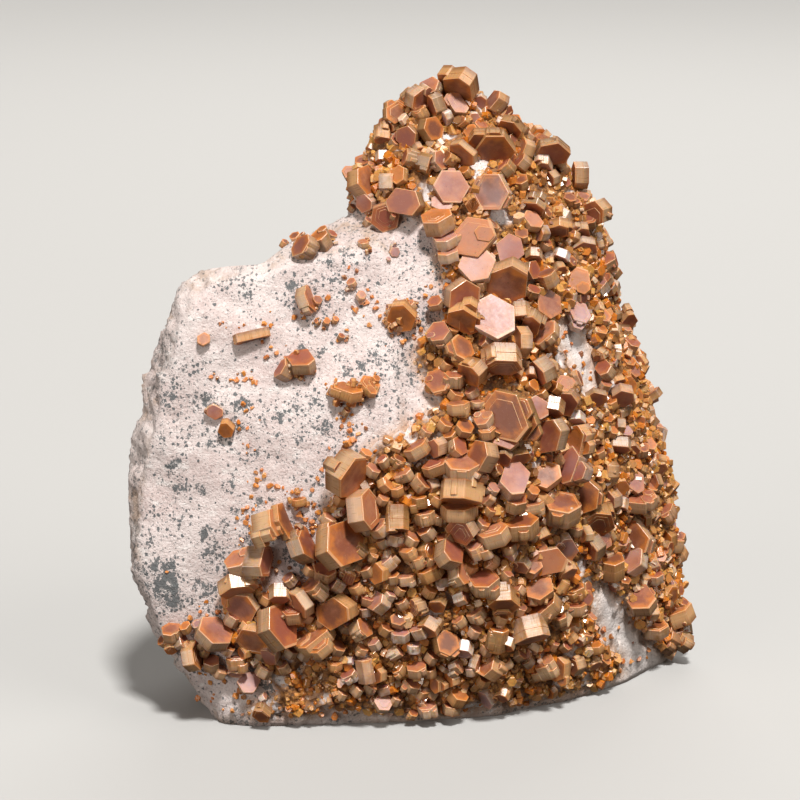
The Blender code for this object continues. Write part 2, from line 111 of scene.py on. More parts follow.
# Crystals as: across, down, width, thickness, lean, heading, roll, and where one stands out, its tone. The
# first four are in sheet units and the rest in degrees. Lean is the angle between the crystal's axis and its
# sight line, and heading is the way on the sheet that the axis leans, from +X towards up. Roll turns the
# hexagon: at 0 it has a corner, and at 30 a flat face, on the side that shows.
PEAK = crystals("""
    461 84 40 16 58 238 25; 430 88 24 12 45 130 10; 417 97 26 14 45 330; 437 105 24 12 72 200 30
    497 102 24 13 62 150 10; 457 103 26 8 30; 395 114 25 10 25 20 10; 408 137 25 8 35 200
    430 129 26 12 40 10; 494 148 42 12 38 270 30; 510 127 28 10 50 240; 525 150 26 12 65 160 30
    552 152 36 10 45 280 30; 545 161 22 16 60 265 20; 506 169 22 12 75 130 30; 463 154 30 8 50 230 30
    363 182 34 15 50 20; 405 202 37 14 25 170; 385 217 29 6 20 260; 451 187 34 10 15 60 0 pink
    492 192 39 10 22 180; 534 204 25 12 60 250; 581 175 26 14 80 180 30; 597 212 34 14 45 200
    588 220 24 9 50 100 30; 558 228 28 10 60 270; 584 247 27 9 50 280
""")
SHOULDER = crystals("""
    437 222 34 16 62 105; 446 240 26 10 65 100 10; 448 255 22 10 68 100; 473 238 45 12 15 120 50
    510 251 36 12 30 40; 477 267 37 12 25 100 30; 508 281 46 16 35 265; 461 297 37 12 35 330
    493 318 46 10 22 80 10 lilac; 519 311 23 15 75 275 30; 548 305 32 10 35 30; 579 314 28 10 35 50 0 lilac
    578 281 27 8 15 90 10; 547 279 27 14 70 110 30; 463 317 34 12 45 260; 607 262 22 12 50 100
    600 287 22 12 50 120; 614 340 22 12 50 200; 628 318 22 12 50 300; 630 345 22 12; 622 396 24 12 45 280
""")
MIDDLE = crystals("""
    440 334 24 10 40 120; 470 322 28 10 40 270; 461 349 27 9 45 40; 438 382 26 9 30 130
    455 379 22 13 60 90 30; 473 371 32 14 62 225 20; 503 359 41 20 62 275 15; 522 341 30 12 70 180 30
    544 335 31 10 50 130 30; 531 322 28 12 50 250; 543 371 29 15 65 210; 568 402 29 10 40 240
    596 398 23 8 40 280; 508 414 52 12 24 205 25 dark; 519 420 46 10 26 205 25 dark; 554 407 24 14 65 260 30
    551 436 38 14 40 190; 579 442 39 16 45 190; 571 467 38 14 40 160 30; 584 495 39 12 20 200 0 dark
    484 455 33 16 50 170; 506 439 29 8 20 100; 514 480 40 14 35 60 10 pink; 515 503 26 12 60 80 10
    547 477 29 10 25 100; 465 468 37 14 62 90 20; 461 492 42 19 80 265 50; 457 513 34 13 72 90 20
    462 529 32 12 50 230; 521 527 37 16 62 95 30; 494 536 31 15 62 110 20; 476 549 26 13 62 115 10
    418 450 24 12 75 120 30; 435 468 25 10 65 110 30; 561 509 40 20 55 85 20; 597 520 38 16 50 285
    611 499 25 12 50 200; 638 501 37 13 58 90 20; 610 471 24 13 70 180 30; 635 483 24 8 30 30
    619 445 24 12 60 270 20
""")
FOOT = crystals("""
    634 539 40 12 25 190; 633 560 35 14 35 150; 613 567 26 22 55 90 10; 667 538 24 10 45 200
    676 555 25 14 60 120 30; 665 514 24 12 60 120 30; 653 577 23 10 60 90 20; 639 598 41 13 40 100 20
    676 616 36 17 70 110 30; 654 630 29 12 60 90 20; 669 641 27 15 55 150; 687 643 23 15 70 150 30
    545 560 42 10 20 300 10; 566 547 29 12 40 300; 590 546 31 14 55 215 30; 600 541 26 9 35 30
    566 569 22 14 65 300 30; 540 590 31 10 35 100; 547 608 33 15 55 130 30; 574 609 27 10 70 95 20
    575 592 22 12 60 100; 484 583 35 13 55 95 20; 503 600 34 17 62 275 25; 531 629 36 22 80 285 20
    448 553 36 15 60 35 30; 459 575 25 13 60 20; 430 627 22 13 62 240 30; 446 644 27 11 30 30 10
    498 641 20 24 65 80 30; 492 668 24 15 55 150; 545 667 28 16 60 120; 560 668 28 11 40 200
    431 573 24 12 70 115 30; 380 604 23 13 55 150; 365 671 20 24 78 100 30; 337 611 40 16 40 210
    340 546 50 18 45 20; 345 475 46 20 60 330 20; 362 511 40 18 62 10 20; 398 518 22 24 80 270 30
""")
LEFT_CORNER = crystals("""
    258 561 36 19 65 0; 239 563 27 14 55 120; 236 586 34 15 68 280 20; 241 606 36 9 40 230 10
    279 594 22 15 65 270 30; 300 603 31 11 68 215 30; 293 614 26 12 60 100 20; 253 640 34 11 50 240
    277 628 45 17 50 20; 271 654 26 12 60 240 20; 316 640 40 13 64 128 30; 315 589 28 14 65 140 30
    323 572 24 11 45 80 20; 214 635 38 14 45 60 10
""")
# On the sheet seen from the right, and seen from behind.
FAR_SIDE = crystals("""
    430 95 22 12 40 330; 440 130 24 12 50; 455 178 24 12 35 200; 470 235 22 12 50 90; 458 290 20 10 30 20
    470 352 20 10 60 270 30; 476 452 20 11 50 300; 465 505 20 12 35; 478 560 20 12 60 100 30
    462 615 20 12 45 220; 470 655 22 14 60 90 30
""")
BEHIND_PEAK = crystals("""
    345 112 30 12 40 90; 372 136 26 12 50 200; 318 128 28 12 35 20; 292 158 26 12 50 300; 350 150 24 10 40
""")
# The crystals that stand by themselves on the bare rock.
LONE_GROUPS = {
    "bar_crystal": crystals("252.5 336 35 9 80 283 30"),
    "joined_tablets": crystals("301.5 362 32 12 55 100 15; 285 371 20 13 68 150 30"),
    "upright_tablet": crystals("305.5 299.5 28 11 70 20 30"),
    "left_flat_crystal": crystals("203.6 339.5 14 6 15 90"),
    "pink_flat_crystal": crystals("214 411 18 6 15 270"),
    "orange_flat_crystal": crystals("226 428 18 9 35 250"),
    "wedge_crystals": crystals("347 392 30 11 65 80 10; 368 386 22 8 50 60"),
    "rimmed_crystals": crystals("402 316 32 10 35 250"),
    "ledge_crystals": crystals("305 247 27 14 60 150 30; 323 240 24 14 65 120"),
    "paired_prisms": crystals("270 524 46 20 68 18; 283 521 38 7 68 18; 302 545 36 15 62 20 30"),
    "corner_crystals": crystals("172 633 22 12 50 100; 181 641 18 10 55 30; 193 656 31 13 65 10 30"),
    "low_flat_crystal": crystals("248 683 25 7 15 60"),
}
# How far some of these groups have grown into the rock, so that less of them stands out.
SUNK = {
    "bar_crystal": 2.3 * MM,
    "joined_tablets": 1.3 * MM,
    "upright_tablet": 1.2 * MM,
    "wedge_crystals": 0.8 * MM,
    "ledge_crystals": 0.5 * MM,
    "paired_prisms": 1.2 * MM,
    "corner_crystals": 0.5 * MM,
}
# The field of crystals seen from the front and from the right, the two windows of bare rock in it, and the
# strip of rock below it where crumbs of crystal lie. Points of outlines are (across, down).
CRUST_OUTLINE = table("""
    330 150; 372 70; 420 40; 540 50; 640 140; 690 300; 730 450; 760 655; 690 660; 650 668; 600 686; 560 695
    500 705; 440 713; 400 714; 330 707; 300 714; 252 715; 250 706; 272 694; 262 670; 238 652; 226 625
    222 596; 238 566; 262 580; 284 606; 310 604; 325 572; 326 530; 328 500; 340 470; 372 446; 405 428
    438 405; 426 385; 414 360; 420 340; 440 322; 446 290; 436 262; 440 232; 416 216; 392 222; 368 212
    350 196
""")
FAR_OUTLINE = table("""
    150 20; 470 20; 480 90; 492 150; 472 190; 496 240; 482 285; 498 325; 478 370; 488 410; 502 455; 480 500
    500 540; 506 585; 484 630; 496 668; 486 720; 500 800; 150 800
""")
SIDE_WINDOW = table("""
    562 318; 575 322; 590 345; 598 385; 597 398; 585 396; 575 380; 566 360; 556 340
""")
FOOT_WINDOW = table("""
    592 588; 606 584; 616 596; 626 612; 645 640; 672 656; 690 690; 600 720; 600 690; 622 672; 620 655
    604 640; 594 615
""")
FOOT_EDGE = table("""
    186 668; 240 690; 300 704; 560 690; 600 690; 540 712; 300 722; 215 722
""")
# The outline of the rock's top left corner.
LEDGE_OUTLINE = table("178 292; 186 281; 200 270; 230 266; 250 265; 262 264; 284 247; 300 236")
# The smaller crystals of each stretch.
PEAK_SMALL = crystals("""
    402 95 8 6 50 90; 420 113 18 12 70 120 30; 447 117 16 8 70 205 30 lilac; 474 117 13 6 20 300 0 white
    505 112 18 10 55 340 20; 486 113 14 8 50 20; 383 134 19 16 60 270 10; 447 135 16 10 60 230 30 white
    472 133 16 9 40 120 0 orange; 566 154 15 8 50 0; 522 164 19 11 70 140 30; 450 158 18 10 65 150
    411 159 18 14 75 165 30; 425 162 20 14 70 345 30; 438 161 20 10 45 20; 368 158 15 10 50 140 0 pale
    383 157 16 10 65 270 30 pale; 366 202 21 8 40 200 0 pink; 399 175 19 9 35 150; 387 182 17 14 75 0 30
    442 203 23 8 30 90 0 lilac; 471 203 18 9 40 300 0 orange; 563 183 14 9 50 40; 571 178 12 8 60 140
    581 231 21 9 55 280; 563 216 17 11 65 240 30 pale; 532 222 22 10 40; 541 234 18 10 50 180
    522 236 16 8 50 90; 470 95 14 8 60 20; 480 128 15; 463 122 14 8 50 150; 512 140 14 8 50 30
    478 172 18 9 50; 465 172 14 8 60 120 30; 520 183 18 10 55 100; 553 178 16 9 55 200; 570 200 16 9 50 80
    545 213 15 9 60 30; 425 190 15; 372 168 12 8 50; 395 142 15 9 50; 418 148 14 8 60 300
    392 126 14 8 55 200; 508 158 14 8 50 330
""")
SHOULDER_SMALL = crystals("""
    488 228 15 14 70 45 30; 497 252 13 8 45 130; 478 284 17 10 60 90 30; 569 296 18 8 30 200
    534 255 19 10 60 270 20; 531 270 20 9 55 10; 561 255 17 9 70 250 30 white; 613 273 12 8 60 60 30 pale
    612 287 18 10 60 250 20; 600 318 20 10 50; 614 314 16 9 50 200; 436 303 16 8 50 120; 453 329 14 8 45
    551 344 20 8 70 130 30; 532 292 16; 560 268 15 9 50 300; 590 268 14 8; 592 300 14 8 60 120
    565 322 15 8 55; 545 245 14 8 60 60 30; 571 262 12 7 50 20; 606 300 13 8 60 200
    599 331 16 9 55 60 0 orange; 614 310 15 8 50 20 0 orange; 627 318 14 8 55 100
    630 341 16 9 50 300 0 orange; 616 355 15 9 60 60 0 orange; 606 345 13 8 50 150
    625 330 12 8 60 60 30 pale; 601 354 13 8 50 220; 583 246 13 7 50 10; 573 236 14 8 50 150; 597 236 14 8
""")
MIDDLE_SMALL = crystals("""
    531 373 15 9 60 270 20; 564 386 21 9 40; 606 370 22 12 50 130; 632 371 18 10 50 30
    537 408 24 8 20 30 0 lilac; 576 419 19 10 60 270 30 lilac; 505 458 20 8 45 250
    518 455 24 12 50 300 0 dark; 527 454 15 8 70 40 30; 557 460 16 10 65 120 30; 470 459 18 8 45 90
    411 440 16 10 60 60 30; 438 447 20 12 55 200; 457 447 22 10 50 30; 464 428 20 8 50; 484 420 20 10 45 120
    477 404 14 7 75 90 30; 458 408 22 11 75 95 30; 488 432 18 9 60 100 20; 405 476 18 10 60 120
    420 484 19 12 60 40 30; 433 485 14 10 60 200 30 pale; 419 502 18 11 70 100 30; 436 501 15 9 70 60 30
    409 499 9 6 50 0 30 white; 425 518 20 12 72 100 30; 427 533 18 11 60 130; 411 540 18 10 60 60 20
    409 553 20 12 60 120 30; 426 550 16 10 50 0; 490 511 13 8; 534 508 20 10 75 100 30; 620 486 20 9 40 300
    655 468 24 12 50 300; 645 446 22 12 50; 625 432 15 7 40 60 0 lilac; 599 452 18 9 50 100
    640 450 20 10 50 80; 655 442 16 8 50 30; 650 462 20 10 60 120; 629 363 15 8 50 60 0 orange
    637 396 15 8 50 20 0 orange; 611 403 16 9 55 100 0 orange; 606 420 15 9 50 60 0 orange
    621 412 14 8 60 200; 634 413 15 9 50 300 0 orange; 612 432 14 8 50; 640 428 15 9 50 100
    597 436 14 8 60 150; 606 385 13 8 50; 618 380 14 8 60 300; 541 394 14 8 60 120; 532 386 14 8 50 30
    556 388 16 9 55 150; 455 395 16; 472 392 15 8 60 120 30; 447 365 14; 488 372 14 9 60 30
    516 370 16 9 60 250; 486 342 14 9 60 150; 445 425 16; 450 435 14 8 50 120; 425 432 13 8
    398 462 14 9 60 60 30; 397 490 14 9 60 100; 385 485 15 9 60 30; 383 500 13 8 55; 447 462 13 8 60 120 30
    532 492 15 9 50; 546 497 16 9 55 130; 586 470 15 9 60 200; 598 482 15; 606 512 14 8 50 100; 627 516 15
    645 520 15 9 50 200; 650 488 16 9 55; 662 482 14 8 50 20; 640 470 15 9 60 150; 533 535 15
    540 522 14 8 50 130; 508 548 16 9 60 100 20; 583 518 16 9 55 100; 575 530 16 9 60 80 20; 493 490 14 9 50
    489 500 14 8 60 150; 482 478 13 8 55; 497 471 14 8 60 30; 445 540 16 10 60 120; 440 520 14 9 65 80 30
    482 525 15
""")
FOOT_SMALL = crystals("""
    620 541 20 8 35; 658 555 19 8 30 60 0 pale; 654 565 16 9 50 240 30 lilac; 671 570 17 9 50 100
    669 587 18 10 40 30; 675 525 9 7 60 0 30 white; 666 600 20 12 65 100 30; 688 620 18 14 60 60 30
    681 631 16 10 50 90; 561 586 18 10 70 150 30; 584 598 20 8 40 0; 510 553 15 9 60 240 30 white
    522 565 17 10 45 240; 443 581 16 9 70 100 30; 461 598 16 12 65 20 20; 477 615 18 10 65 120 30
    500 618 16; 465 649 19 12 65 260 30 white; 508 644 15 10 65 250 30; 507 665 14 8 70 120 30
    535 676 14 10 65 100 30; 577 665 21 12 55 200 20; 588 667 7 6 60 0 30 white; 594 663 16 9 65 300 20
    553 645 13; 565 645 14 8 50 30; 573 651 11 8 60 90 30; 594 648 20 9 60 100 20; 603 638 12 8 50
    617 666 16 10 50; 604 660 14 8 50 30; 504 691 17 18 65 250 30; 458 698 20 12 50 60 0 orange
    427 709 20 10 60 100 20; 451 709 20 9 70 80 20; 438 684 18 10 50 200; 456 667 17 10 65 20 20
    650 600 15 9 60 120; 624 582 15 9 50; 607 555 15 9 60 200; 598 562 14 8 50; 645 580 14 8 60 300
    660 615 14 9 55; 670 628 14 8 60 30; 677 590 14 9 50 0; 684 605 14 9 55; 559 620 16 9 60 100; 520 610 14
    519 590 15 9 60 130; 505 575 16; 492 562 15 9 55 150; 470 568 15 9 60 60 30; 465 585 15 9 60 120
    475 632 16; 460 622 15 9 60 130 20; 487 650 15 9 55; 470 670 16 9 60 100; 483 682 15 9 60 60 30
    520 655 15 9 60 30; 528 662 14 8 60 130; 585 635 15; 575 626 14 8 55 120; 590 618 14 8
    532 648 15 9 60 250; 515 680 15; 473 700 15 9 60 120
""")
LOWER_SMALL = crystals("""
    340 512 11 8 50 0 30 white; 381 529 20 11 65 130 30; 395 538 18 11 60 80 20; 383 543 13 9 65 120 30
    358 551 21 14 68 140 30; 389 564 18 12 68 130 30; 418 562 20 11 68 110 20; 429 560 14 10
    379 573 22 12 45 200 0 orange; 367 571 15 10 60 120; 392 578 16 9 60 100 30; 407 580 18 9 68 100 20
    337 585 17 12 65 150 30; 350 576 20 10 50 250; 356 589 16 9 65 120 30; 368 601 16 9 55 80 20
    366 611 14 9 60 100 30; 360 630 22 13 60 30; 399 621 17 8 35 100; 400 636 18 10 55 90 20
    419 632 18 12 60 120; 418 607 18 11 60 200 20; 438 604 18 9 50 250 0 dark; 414 648 14 9 60 90 30 white
    395 653 14 12 70 30 30; 379 675 17 9 45 200; 350 661 9 8 60 0 30 white; 350 677 18 10 60 130
    337 648 17 9 50; 335 666 16 8 60 90 20; 417 669 22 10 55 100; 411 685 20 9 50; 452 679 18 9 60 200
    383 703 22 8 25 60 0 pale; 384 690 14 9 60 110 20; 413 714 14 7 50; 342 696 12 8; 357 691 14 10
    390 596 15; 402 604 14 9 60 120 20; 430 592 15; 385 630 15 9 60 60 30; 375 645 14 9 55 120; 362 650 14 8
    432 658 15; 399 671 14 9 60 130; 370 688 14 8 60 60 20; 396 700 15; 430 672 14 9 60 100
    421 693 15 9 60 60 30; 345 628 14; 352 610 14 9 55 150; 372 556 14; 346 568 14 9 60 100 30; 400 590 14 8
    368 530 14; 332 560 14 8 60 120; 328 520 16 9 60 60 30; 335 532 15 9 60 150; 372 471 16
    384 462 14 9 60 120; 365 455 13 8; 340 500 14
""")
CORNER_SMALL = crystals("""
    199 626 14 9 50 120; 165 641 14 9 60 150 20; 171 647 16 9 60 270 20; 211 664 20 10 50 90; 219 672 16
    236 663 20 11 68 95 30; 236 671 15 9 70 260 30; 232 620 17 11 65 60 30; 263 713 21 10 55 250
    263 697 9 6 60 30 30 white; 264 671 17 11 68 60 30; 246 625 15; 262 614 16 9 60 120
    266 600 14 9 60 60 30; 290 580 15 9 60 130; 308 617 15; 297 640 16 9 60 100; 290 652 15 9 60 60 20
    305 655 15; 284 668 14 9 60 120; 300 628 14 8; 262 655 14; 245 652 14 8 60 200; 228 650 14; 318 655 14
    248 576 15; 228 600 14 9 60 200; 322 622 15 9 60 100; 330 635 14 9 60 60 30; 310 570 14; 203 645 14 8 50
    186 628 12 8 50 120; 205 652 12 8
""")
FACE_SMALL = crystals("""
    299 502 17 7 75 100 30 orange; 314 505 6 4 50 60 0 orange; 317 301 13 6 40; 326 322 10 5 40
    317 322 8 5 40 120; 335 320 8 5 50; 341 337 9 5 50; 301 378 6 4 50; 363 243 15 6 65 100 30
    394 252 13 5 30 0 0 lilac; 361 296 13 6 40 60 0 pale; 352 283 13 6 50 120 0 pale; 392 312 14 8 50
    411 306 13 8 60 120; 399 327 12 7; 387 322 10 6 50 60 0 orange; 412 322 12 7
    333 391 12 6 60 60 0 orange; 352 402 13 7 50 250 0 orange; 346 412 10 6; 376 380 10 6 50 60 0 orange
    309 310 13 7; 296 362 10 6; 312 371 9 5; 284 244 10 7; 331 236 13 8; 296 238 13 8 55 120; 368 222 12 7
    352 208 10 6 60 60 0 dark
""")
# Orange grains on the bare face: across, down, width.
GRAINS = table("""
    252 408 4; 349 267 5; 328 298 5; 304 318 6; 244 325 4; 271 325 5; 220 324 4; 217 378 5; 244 373 5
    256 382 5; 236 381 6; 277 353 5; 271 347 5; 248 446 4; 240 429 5; 336 380 5; 348 443 8; 345 448 6
    352 440 6; 355 310 6; 257 480 5; 256 486 5; 270 486 6; 277 487 6; 251 497 5; 256 505 4; 247 508 5
    237 518 5; 247 517 4; 250 526 4; 250 533 4; 242 540 5; 167 572 4; 211 377 5; 243 404 6; 238 422 5
    231 380 4; 245 380 5; 264 476 5; 262 470 4; 300 515 7; 305 520 6; 312 522 6; 318 512 5; 299 526 6
    313 532 5; 289 568 6; 276 570 5; 284 583 5; 296 590 6; 303 585 5; 280 562 5; 206 602 5; 218 612 5
    200 612 4; 190 618 5; 209 640 5; 186 644 5; 350 430 6; 358 434 6; 342 452 5; 366 428 5; 322 470 5
    330 462 5; 318 480 5; 312 490 5; 283 488 4; 292 492 5; 338 340 5; 347 330 5; 366 303 6; 372 297 5
    344 277 5; 357 271 5; 368 290 5; 376 308 5; 380 316 6; 392 336 5; 402 342 5; 414 338 6; 421 330 5
    396 300 5; 425 296 5; 431 286 5; 337 399 5; 356 393 5; 326 384 4; 344 420 5; 350 424 6; 341 405 5
""")
# Grey blotches on the bare face: across, down, radius.
BLOTCHES = table("""
    169 572 10; 166 586 13; 174 600 10; 160 566 7; 211 552 8; 213 564 8; 176 461 5; 180 487 7; 228 486 8
    232 478 5; 242 404 6; 206 402 5; 339 359 5; 344 373 5; 327 424 5; 201 491 6; 161 438 5; 158 447 7
    210 445 4; 185 437 4; 254 456 4; 249 296 5; 293 286 5; 288 303 4; 200 583 6; 209 589 7; 154 568 5
    226 522 5; 181 676 5; 263 679 9; 252 668 7; 270 690 8; 205 535 6; 200 545 6; 260 500 5; 268 497 5
    236 512 6; 300 560 8; 290 555 7; 305 575 7; 296 605 7; 170 470 5; 239 428 5; 226 440 6; 186 620 7
    217 630 7; 228 612 6; 345 250 4; 330 262 4; 300 350 4; 322 350 5; 360 365 4; 372 352 4; 312 400 4
    300 440 4; 280 420 4
""")


# The rock's mesh.
ROCK_VOXEL = 0.82 * MM
ROCK_SMOOTHING = 60
# How far the dressed rock may reach past the solid.
ROCK_SLACK = 0.2 * MM
# Where the Y of the surface's direction is below the first value the rock is smooth, as on its bare face,
# and above the second it is broken.
SMOOTH_FROM = -0.85
BROKEN_FROM = -0.45
# The foot is broken too, fully below the second height.
FOOT_BREAK = (11 * MM, 3 * MM)
# The sizes of the patterns in the rock's relief.
WAVE_SIZE = 11 * MM
PIT_SIZE = 2.4 * MM
GRAIN_SIZE = 1.7 * MM
CHIP_SIZE = 7 * MM
SMALL_CHIP_SIZE = 2.9 * MM
CHIP_SHIFT = Vector((1, 2, 3)) * MM
KNOB_SIZE = 4.5 * MM
# How far the rock's left edge swells out, at what height and over what stretch, and from where on.
LEFT_SWELL = 2.6 * MM
SWELL_HEIGHT = 30 * MM
SWELL_REACH = 17 * MM
SWELL_ACROSS = (-25 * MM, -48 * MM)

# The crust: how far past the field it goes, in sheet units, and how far its finer mesh does.
CRUST_MARGIN = 9
FINE_MARGIN = 5
CRUST_GRAIN = 1.1 * MM
LUMP_SIZE = 3.5 * MM
PATCH_SIZE = 4.2 * MM
RAGGED_SIZE = 2.2 * MM
RAGGED_REACH = 6
# How deep the crust's edge goes under the rock.
CRUST_UNDER = 0.45 * MM

# Crystals.
CHAMFER = 0.08 * MM
SMALL_CHAMFER = 0.06 * MM
GROOVE = 0.08 * MM
PLATE = 2.4 * MM
TERRACE_HEIGHTS = (0.03, 0.09)
# The share of crystals with a terrace on the end, and the share up to which the end is hollow instead.
TERRACED = 0.16
HOLLOW = 0.28
UNEVEN = 0.13
SMALL_UNEVEN = 0.18
GRAIN_UNEVEN = 0.40
# The widths in sheet units from which a crystal has details and has companions.
DETAILED_FROM = 11
STEPPED_FROM = 18
COMPANION_CHANCE = 0.35
DRUSE_COUNT = 9000
DRUSE_SIZES = (0.7, 2.3)
DRUSE_OUTSIDE = 1.5
FAR_COUNT = 260
FAR_TRIES = 12
FAR_INSIDE = 3
FAR_SIZES = (2.4, 4.6)
# How much of the surface's direction is along the view, at least, where the far side's crystals and the far
# half of the druse stand.
FAR_FROM = -0.12
DRUSE_FAR_FROM = -0.1
# Small crystals sit this much lower than large ones.
SMALL_BED = 0.8
# No grain is strewn on the rock lower than this.
LOWEST_GRAIN = 2 * MM

# The two materials of a crystal: its flat ends and its sides.
BASAL = 0
PRISM = 1
# Groups whose hexagons are squashed: which pair of sides, and its share of the full distance.
SQUASHED = {"bar_crystal": (2, 0.55)}
# The tones of groups that stand out.
LONE_TONES = {
    "left_flat_crystal": "orange",
    "orange_flat_crystal": "orange",
    "pink_flat_crystal": "pink",
    "low_flat_crystal": "pink",
    "wedge_crystals": "orange",
    "rimmed_crystals": "orange",
}
# How many splinters of crystal lie on and round each crystal of a group.
SPLINTERS = {"wedge_crystals": 16, "rimmed_crystals": 26, "joined_tablets": 5, "ledge_crystals": 4}
# Where the pale rock shows between the crystals, and where the crust is hollow, lowered and painted dark as
# shade, as ellipses on the sheet: (across, down, half its width, half its height).
GLIMPSES = table("""
    478 170 11 12; 429 196 6 10; 498 217 17 8; 447 134 9 7; 366 162 6 6; 475 431 5 6; 298 631 9 7
    287 657 6 5; 428 690 6 5; 475 706 10 6; 331 718 9 5; 572 649 6 7; 255 696 7 6; 410 437 8 7
    566 330 7 6; 600 606 8 14; 585 583 6 8
""")
RECESSES = table("310 680 15 22; 478 690 12 7")
# Named tones of crystals, as (hue from orange to rose, lightness, painted sheen). The first is the middle
# one.
# The painted sheen is a reflection of the light painted into the colour: the whitest tone is a painted glint,
# the lilac one a painted lilac sheen, and the pale and pink ones carry a little of it.
TONES = {
    None: (0.5, 0.5, 0.0),
    "white": (0.5, 0.95, 0.8),
    "lilac": (0.8, 0.6, 0.62),
    "pale": (0.35, 0.9, 0.3),
    "orange": (0.06, 0.5, 0.0),
    "pink": (0.95, 0.6, 0.25),
    "dark": (0.35, 0.05, 0.0),
}


def smoothstep(low, high, values):
    share = np.clip((values - low) / (high - low), 0, 1)
    return share * share * (3 - 2 * share)


def new_object(name, mesh, *materials):
    item = bpy.data.objects.new(name, mesh)
    bpy.context.scene.collection.objects.link(item)
    mesh.materials.clear()
    for material in materials:
        mesh.materials.append(material)
    return item


def points_of(mesh, field="co"):
    """The mesh's points, or with the field normal its directions there."""
    values = np.zeros(len(mesh.vertices) * 3)
    mesh.vertices.foreach_get(field, values)
    return values.reshape(-1, 3)


def set_points(mesh, points):
    mesh.vertices.foreach_set("co", points.reshape(-1))
    mesh.update()


def set_attribute(mesh, name, values):
    """A number or a vector at every point of the mesh."""
    values = np.asarray(values, np.float32)
    kind, field = ("FLOAT", "value") if values.ndim == 1 else ("FLOAT_VECTOR", "vector")
    mesh.attributes.new(name, kind, "POINT").data.foreach_set(field, values.reshape(-1))


def smooth(mesh, passes):
    """Rounds small facets without shrinking the whole: each pass draws in and then lets out."""
    edges = np.zeros(len(mesh.edges) * 2, int)
    mesh.edges.foreach_get("vertices", edges)
    ends = edges.reshape(-1, 2)
    starts = np.concatenate((ends[:, 0], ends[:, 1]))
    others = np.concatenate((ends[:, 1], ends[:, 0]))
    points = points_of(mesh)
    count = np.bincount(starts, minlength=len(points))[:, None]
    for _ in range(passes):
        for share in (0.5, -0.52):
            sums = [np.bincount(starts, points[others, axis], len(points)) for axis in range(3)]
            points += share * (np.stack(sums, 1) / count - points)
    set_points(mesh, points)


# The layout sheet.


class Sheet:
    """The layout sheet as seen from an eye at this azimuth: 0 looks along +Y and 90 along -X."""

    def __init__(self, azimuth=0.0):
        turn = Matrix.Rotation(math.radians(azimuth), 3, "Z")
        self.forward = turn @ Vector((0, math.cos(EYE_RISE), -math.sin(EYE_RISE)))
        self.right = turn @ Vector((1, 0, 0))
        self.up = self.right.cross(self.forward)
        self.eye = LOOK_AT - self.forward * EYE_DISTANCE

    def direction(self, across, down):
        right = (across - SHEET_MIDDLE) * SHEET_UNIT
        up = (SHEET_MIDDLE - down) * SHEET_UNIT
        return (self.forward * EYE_DISTANCE + self.right * right + self.up * up).normalized()

    def places(self, points):
        """Where points in space lie on the sheet: across and down."""
        rays = points - np.array(self.eye)
        scale = EYE_DISTANCE / SHEET_UNIT / (rays @ np.array(self.forward))
        across = SHEET_MIDDLE + rays @ np.array(self.right) * scale
        down = SHEET_MIDDLE - rays @ np.array(self.up) * scale
        return np.stack((across, down), 1)

    def seat(self, tree, across, down):
        """Where the sight line meets the rock, or where it passes nearest to it."""
        direction = self.direction(across, down)
        hit = tree.ray_cast(self.eye, direction)[0]
        if hit:
            return hit
        depths = [EYE_DISTANCE + step * MM for step in range(-SEARCH_BEFORE, SEARCH_BEHIND)]
        steps = [self.eye + direction * depth for depth in depths]
        return min(steps, key=lambda point: tree.find_nearest(point)[3])

    def axes(self, across, down, lean, heading, roll):
        """A crystal's rotation: its Z is the axis and its X lies on the side that shows its prism faces."""
        lean = math.radians(lean)
        heading = math.radians(heading)
        towards = -self.direction(across, down)
        tilt = self.right * math.cos(heading) + self.up * math.sin(heading)
        tilt = (tilt - towards * tilt.dot(towards)).normalized()
        axis = towards * math.cos(lean) + tilt * math.sin(lean)
        side = towards * math.sin(lean) - tilt * math.cos(lean)
        turn = Matrix((side, axis.cross(side), axis)).transposed()
        return turn @ Matrix.Rotation(math.radians(roll) + CORNER_TURN, 3, "Z")


def place_crystal(sheet, tree, row, bed):
    """The prism's place: on its sight line, lifted off the rock, but never so far that it stands free."""
    across, down, width, thickness, lean, heading, roll = row[:7]
    width *= SHEET_UNIT
    thickness *= SHEET_UNIT
    slope = math.radians(lean)
    turn = sheet.axes(across, down, lean, heading, roll)
    lift = width * SEAT_LIFT * math.sin(slope) + thickness * SEAT_LIFT * math.cos(slope) + bed
    centre = sheet.seat(tree, across, down) - sheet.direction(across, down) * lift
    nearest, normal, _, distance = tree.find_nearest(centre)
    upright = abs(normal.dot(turn.col[2]))
    half_height = (thickness * upright + width * math.sqrt(1 - min(upright * upright, 1))) / 2
    reach = (bed + half_height) * FIRM_SEAT
    if distance > reach:
        centre += (nearest - centre) * (1 - reach / distance)
    return Matrix.Translation(centre) @ turn.to_4x4()


def depth_inside(outline, places):
    """How far inside an outline on the sheet each place is, in sheet units, and below 0 outside it."""
    corners = np.array(outline, float)
    inside = np.zeros(len(places), bool)
    nearest = np.full(len(places), np.inf)
    for start, end in zip(corners, np.roll(corners, -1, 0)):
        run = end - start
        share = np.clip(((places - start) @ run) / (run @ run), 0, 1)
        gaps = places - start - share[:, None] * run
        nearest = np.minimum(nearest, np.hypot(gaps[:, 0], gaps[:, 1]))
        crosses = (start[1] > places[:, 1]) != (end[1] > places[:, 1])
        level = run[1] if run[1] else 1e-9
        meets = start[0] + (places[:, 1] - start[1]) / level * run[0]
        inside ^= crosses & (places[:, 0] < meets)
    return np.where(inside, nearest, -nearest)


FRONT = Sheet()
SIDE = Sheet(90)
BACK = Sheet(180)
# Boxes with no crust: the rock's left side and back, and its foot.
BARE_BOXES = [((-70, -18, -10), (-5, 60, 75)), ((-70, -60, -10), (90, 60, 0.8))]


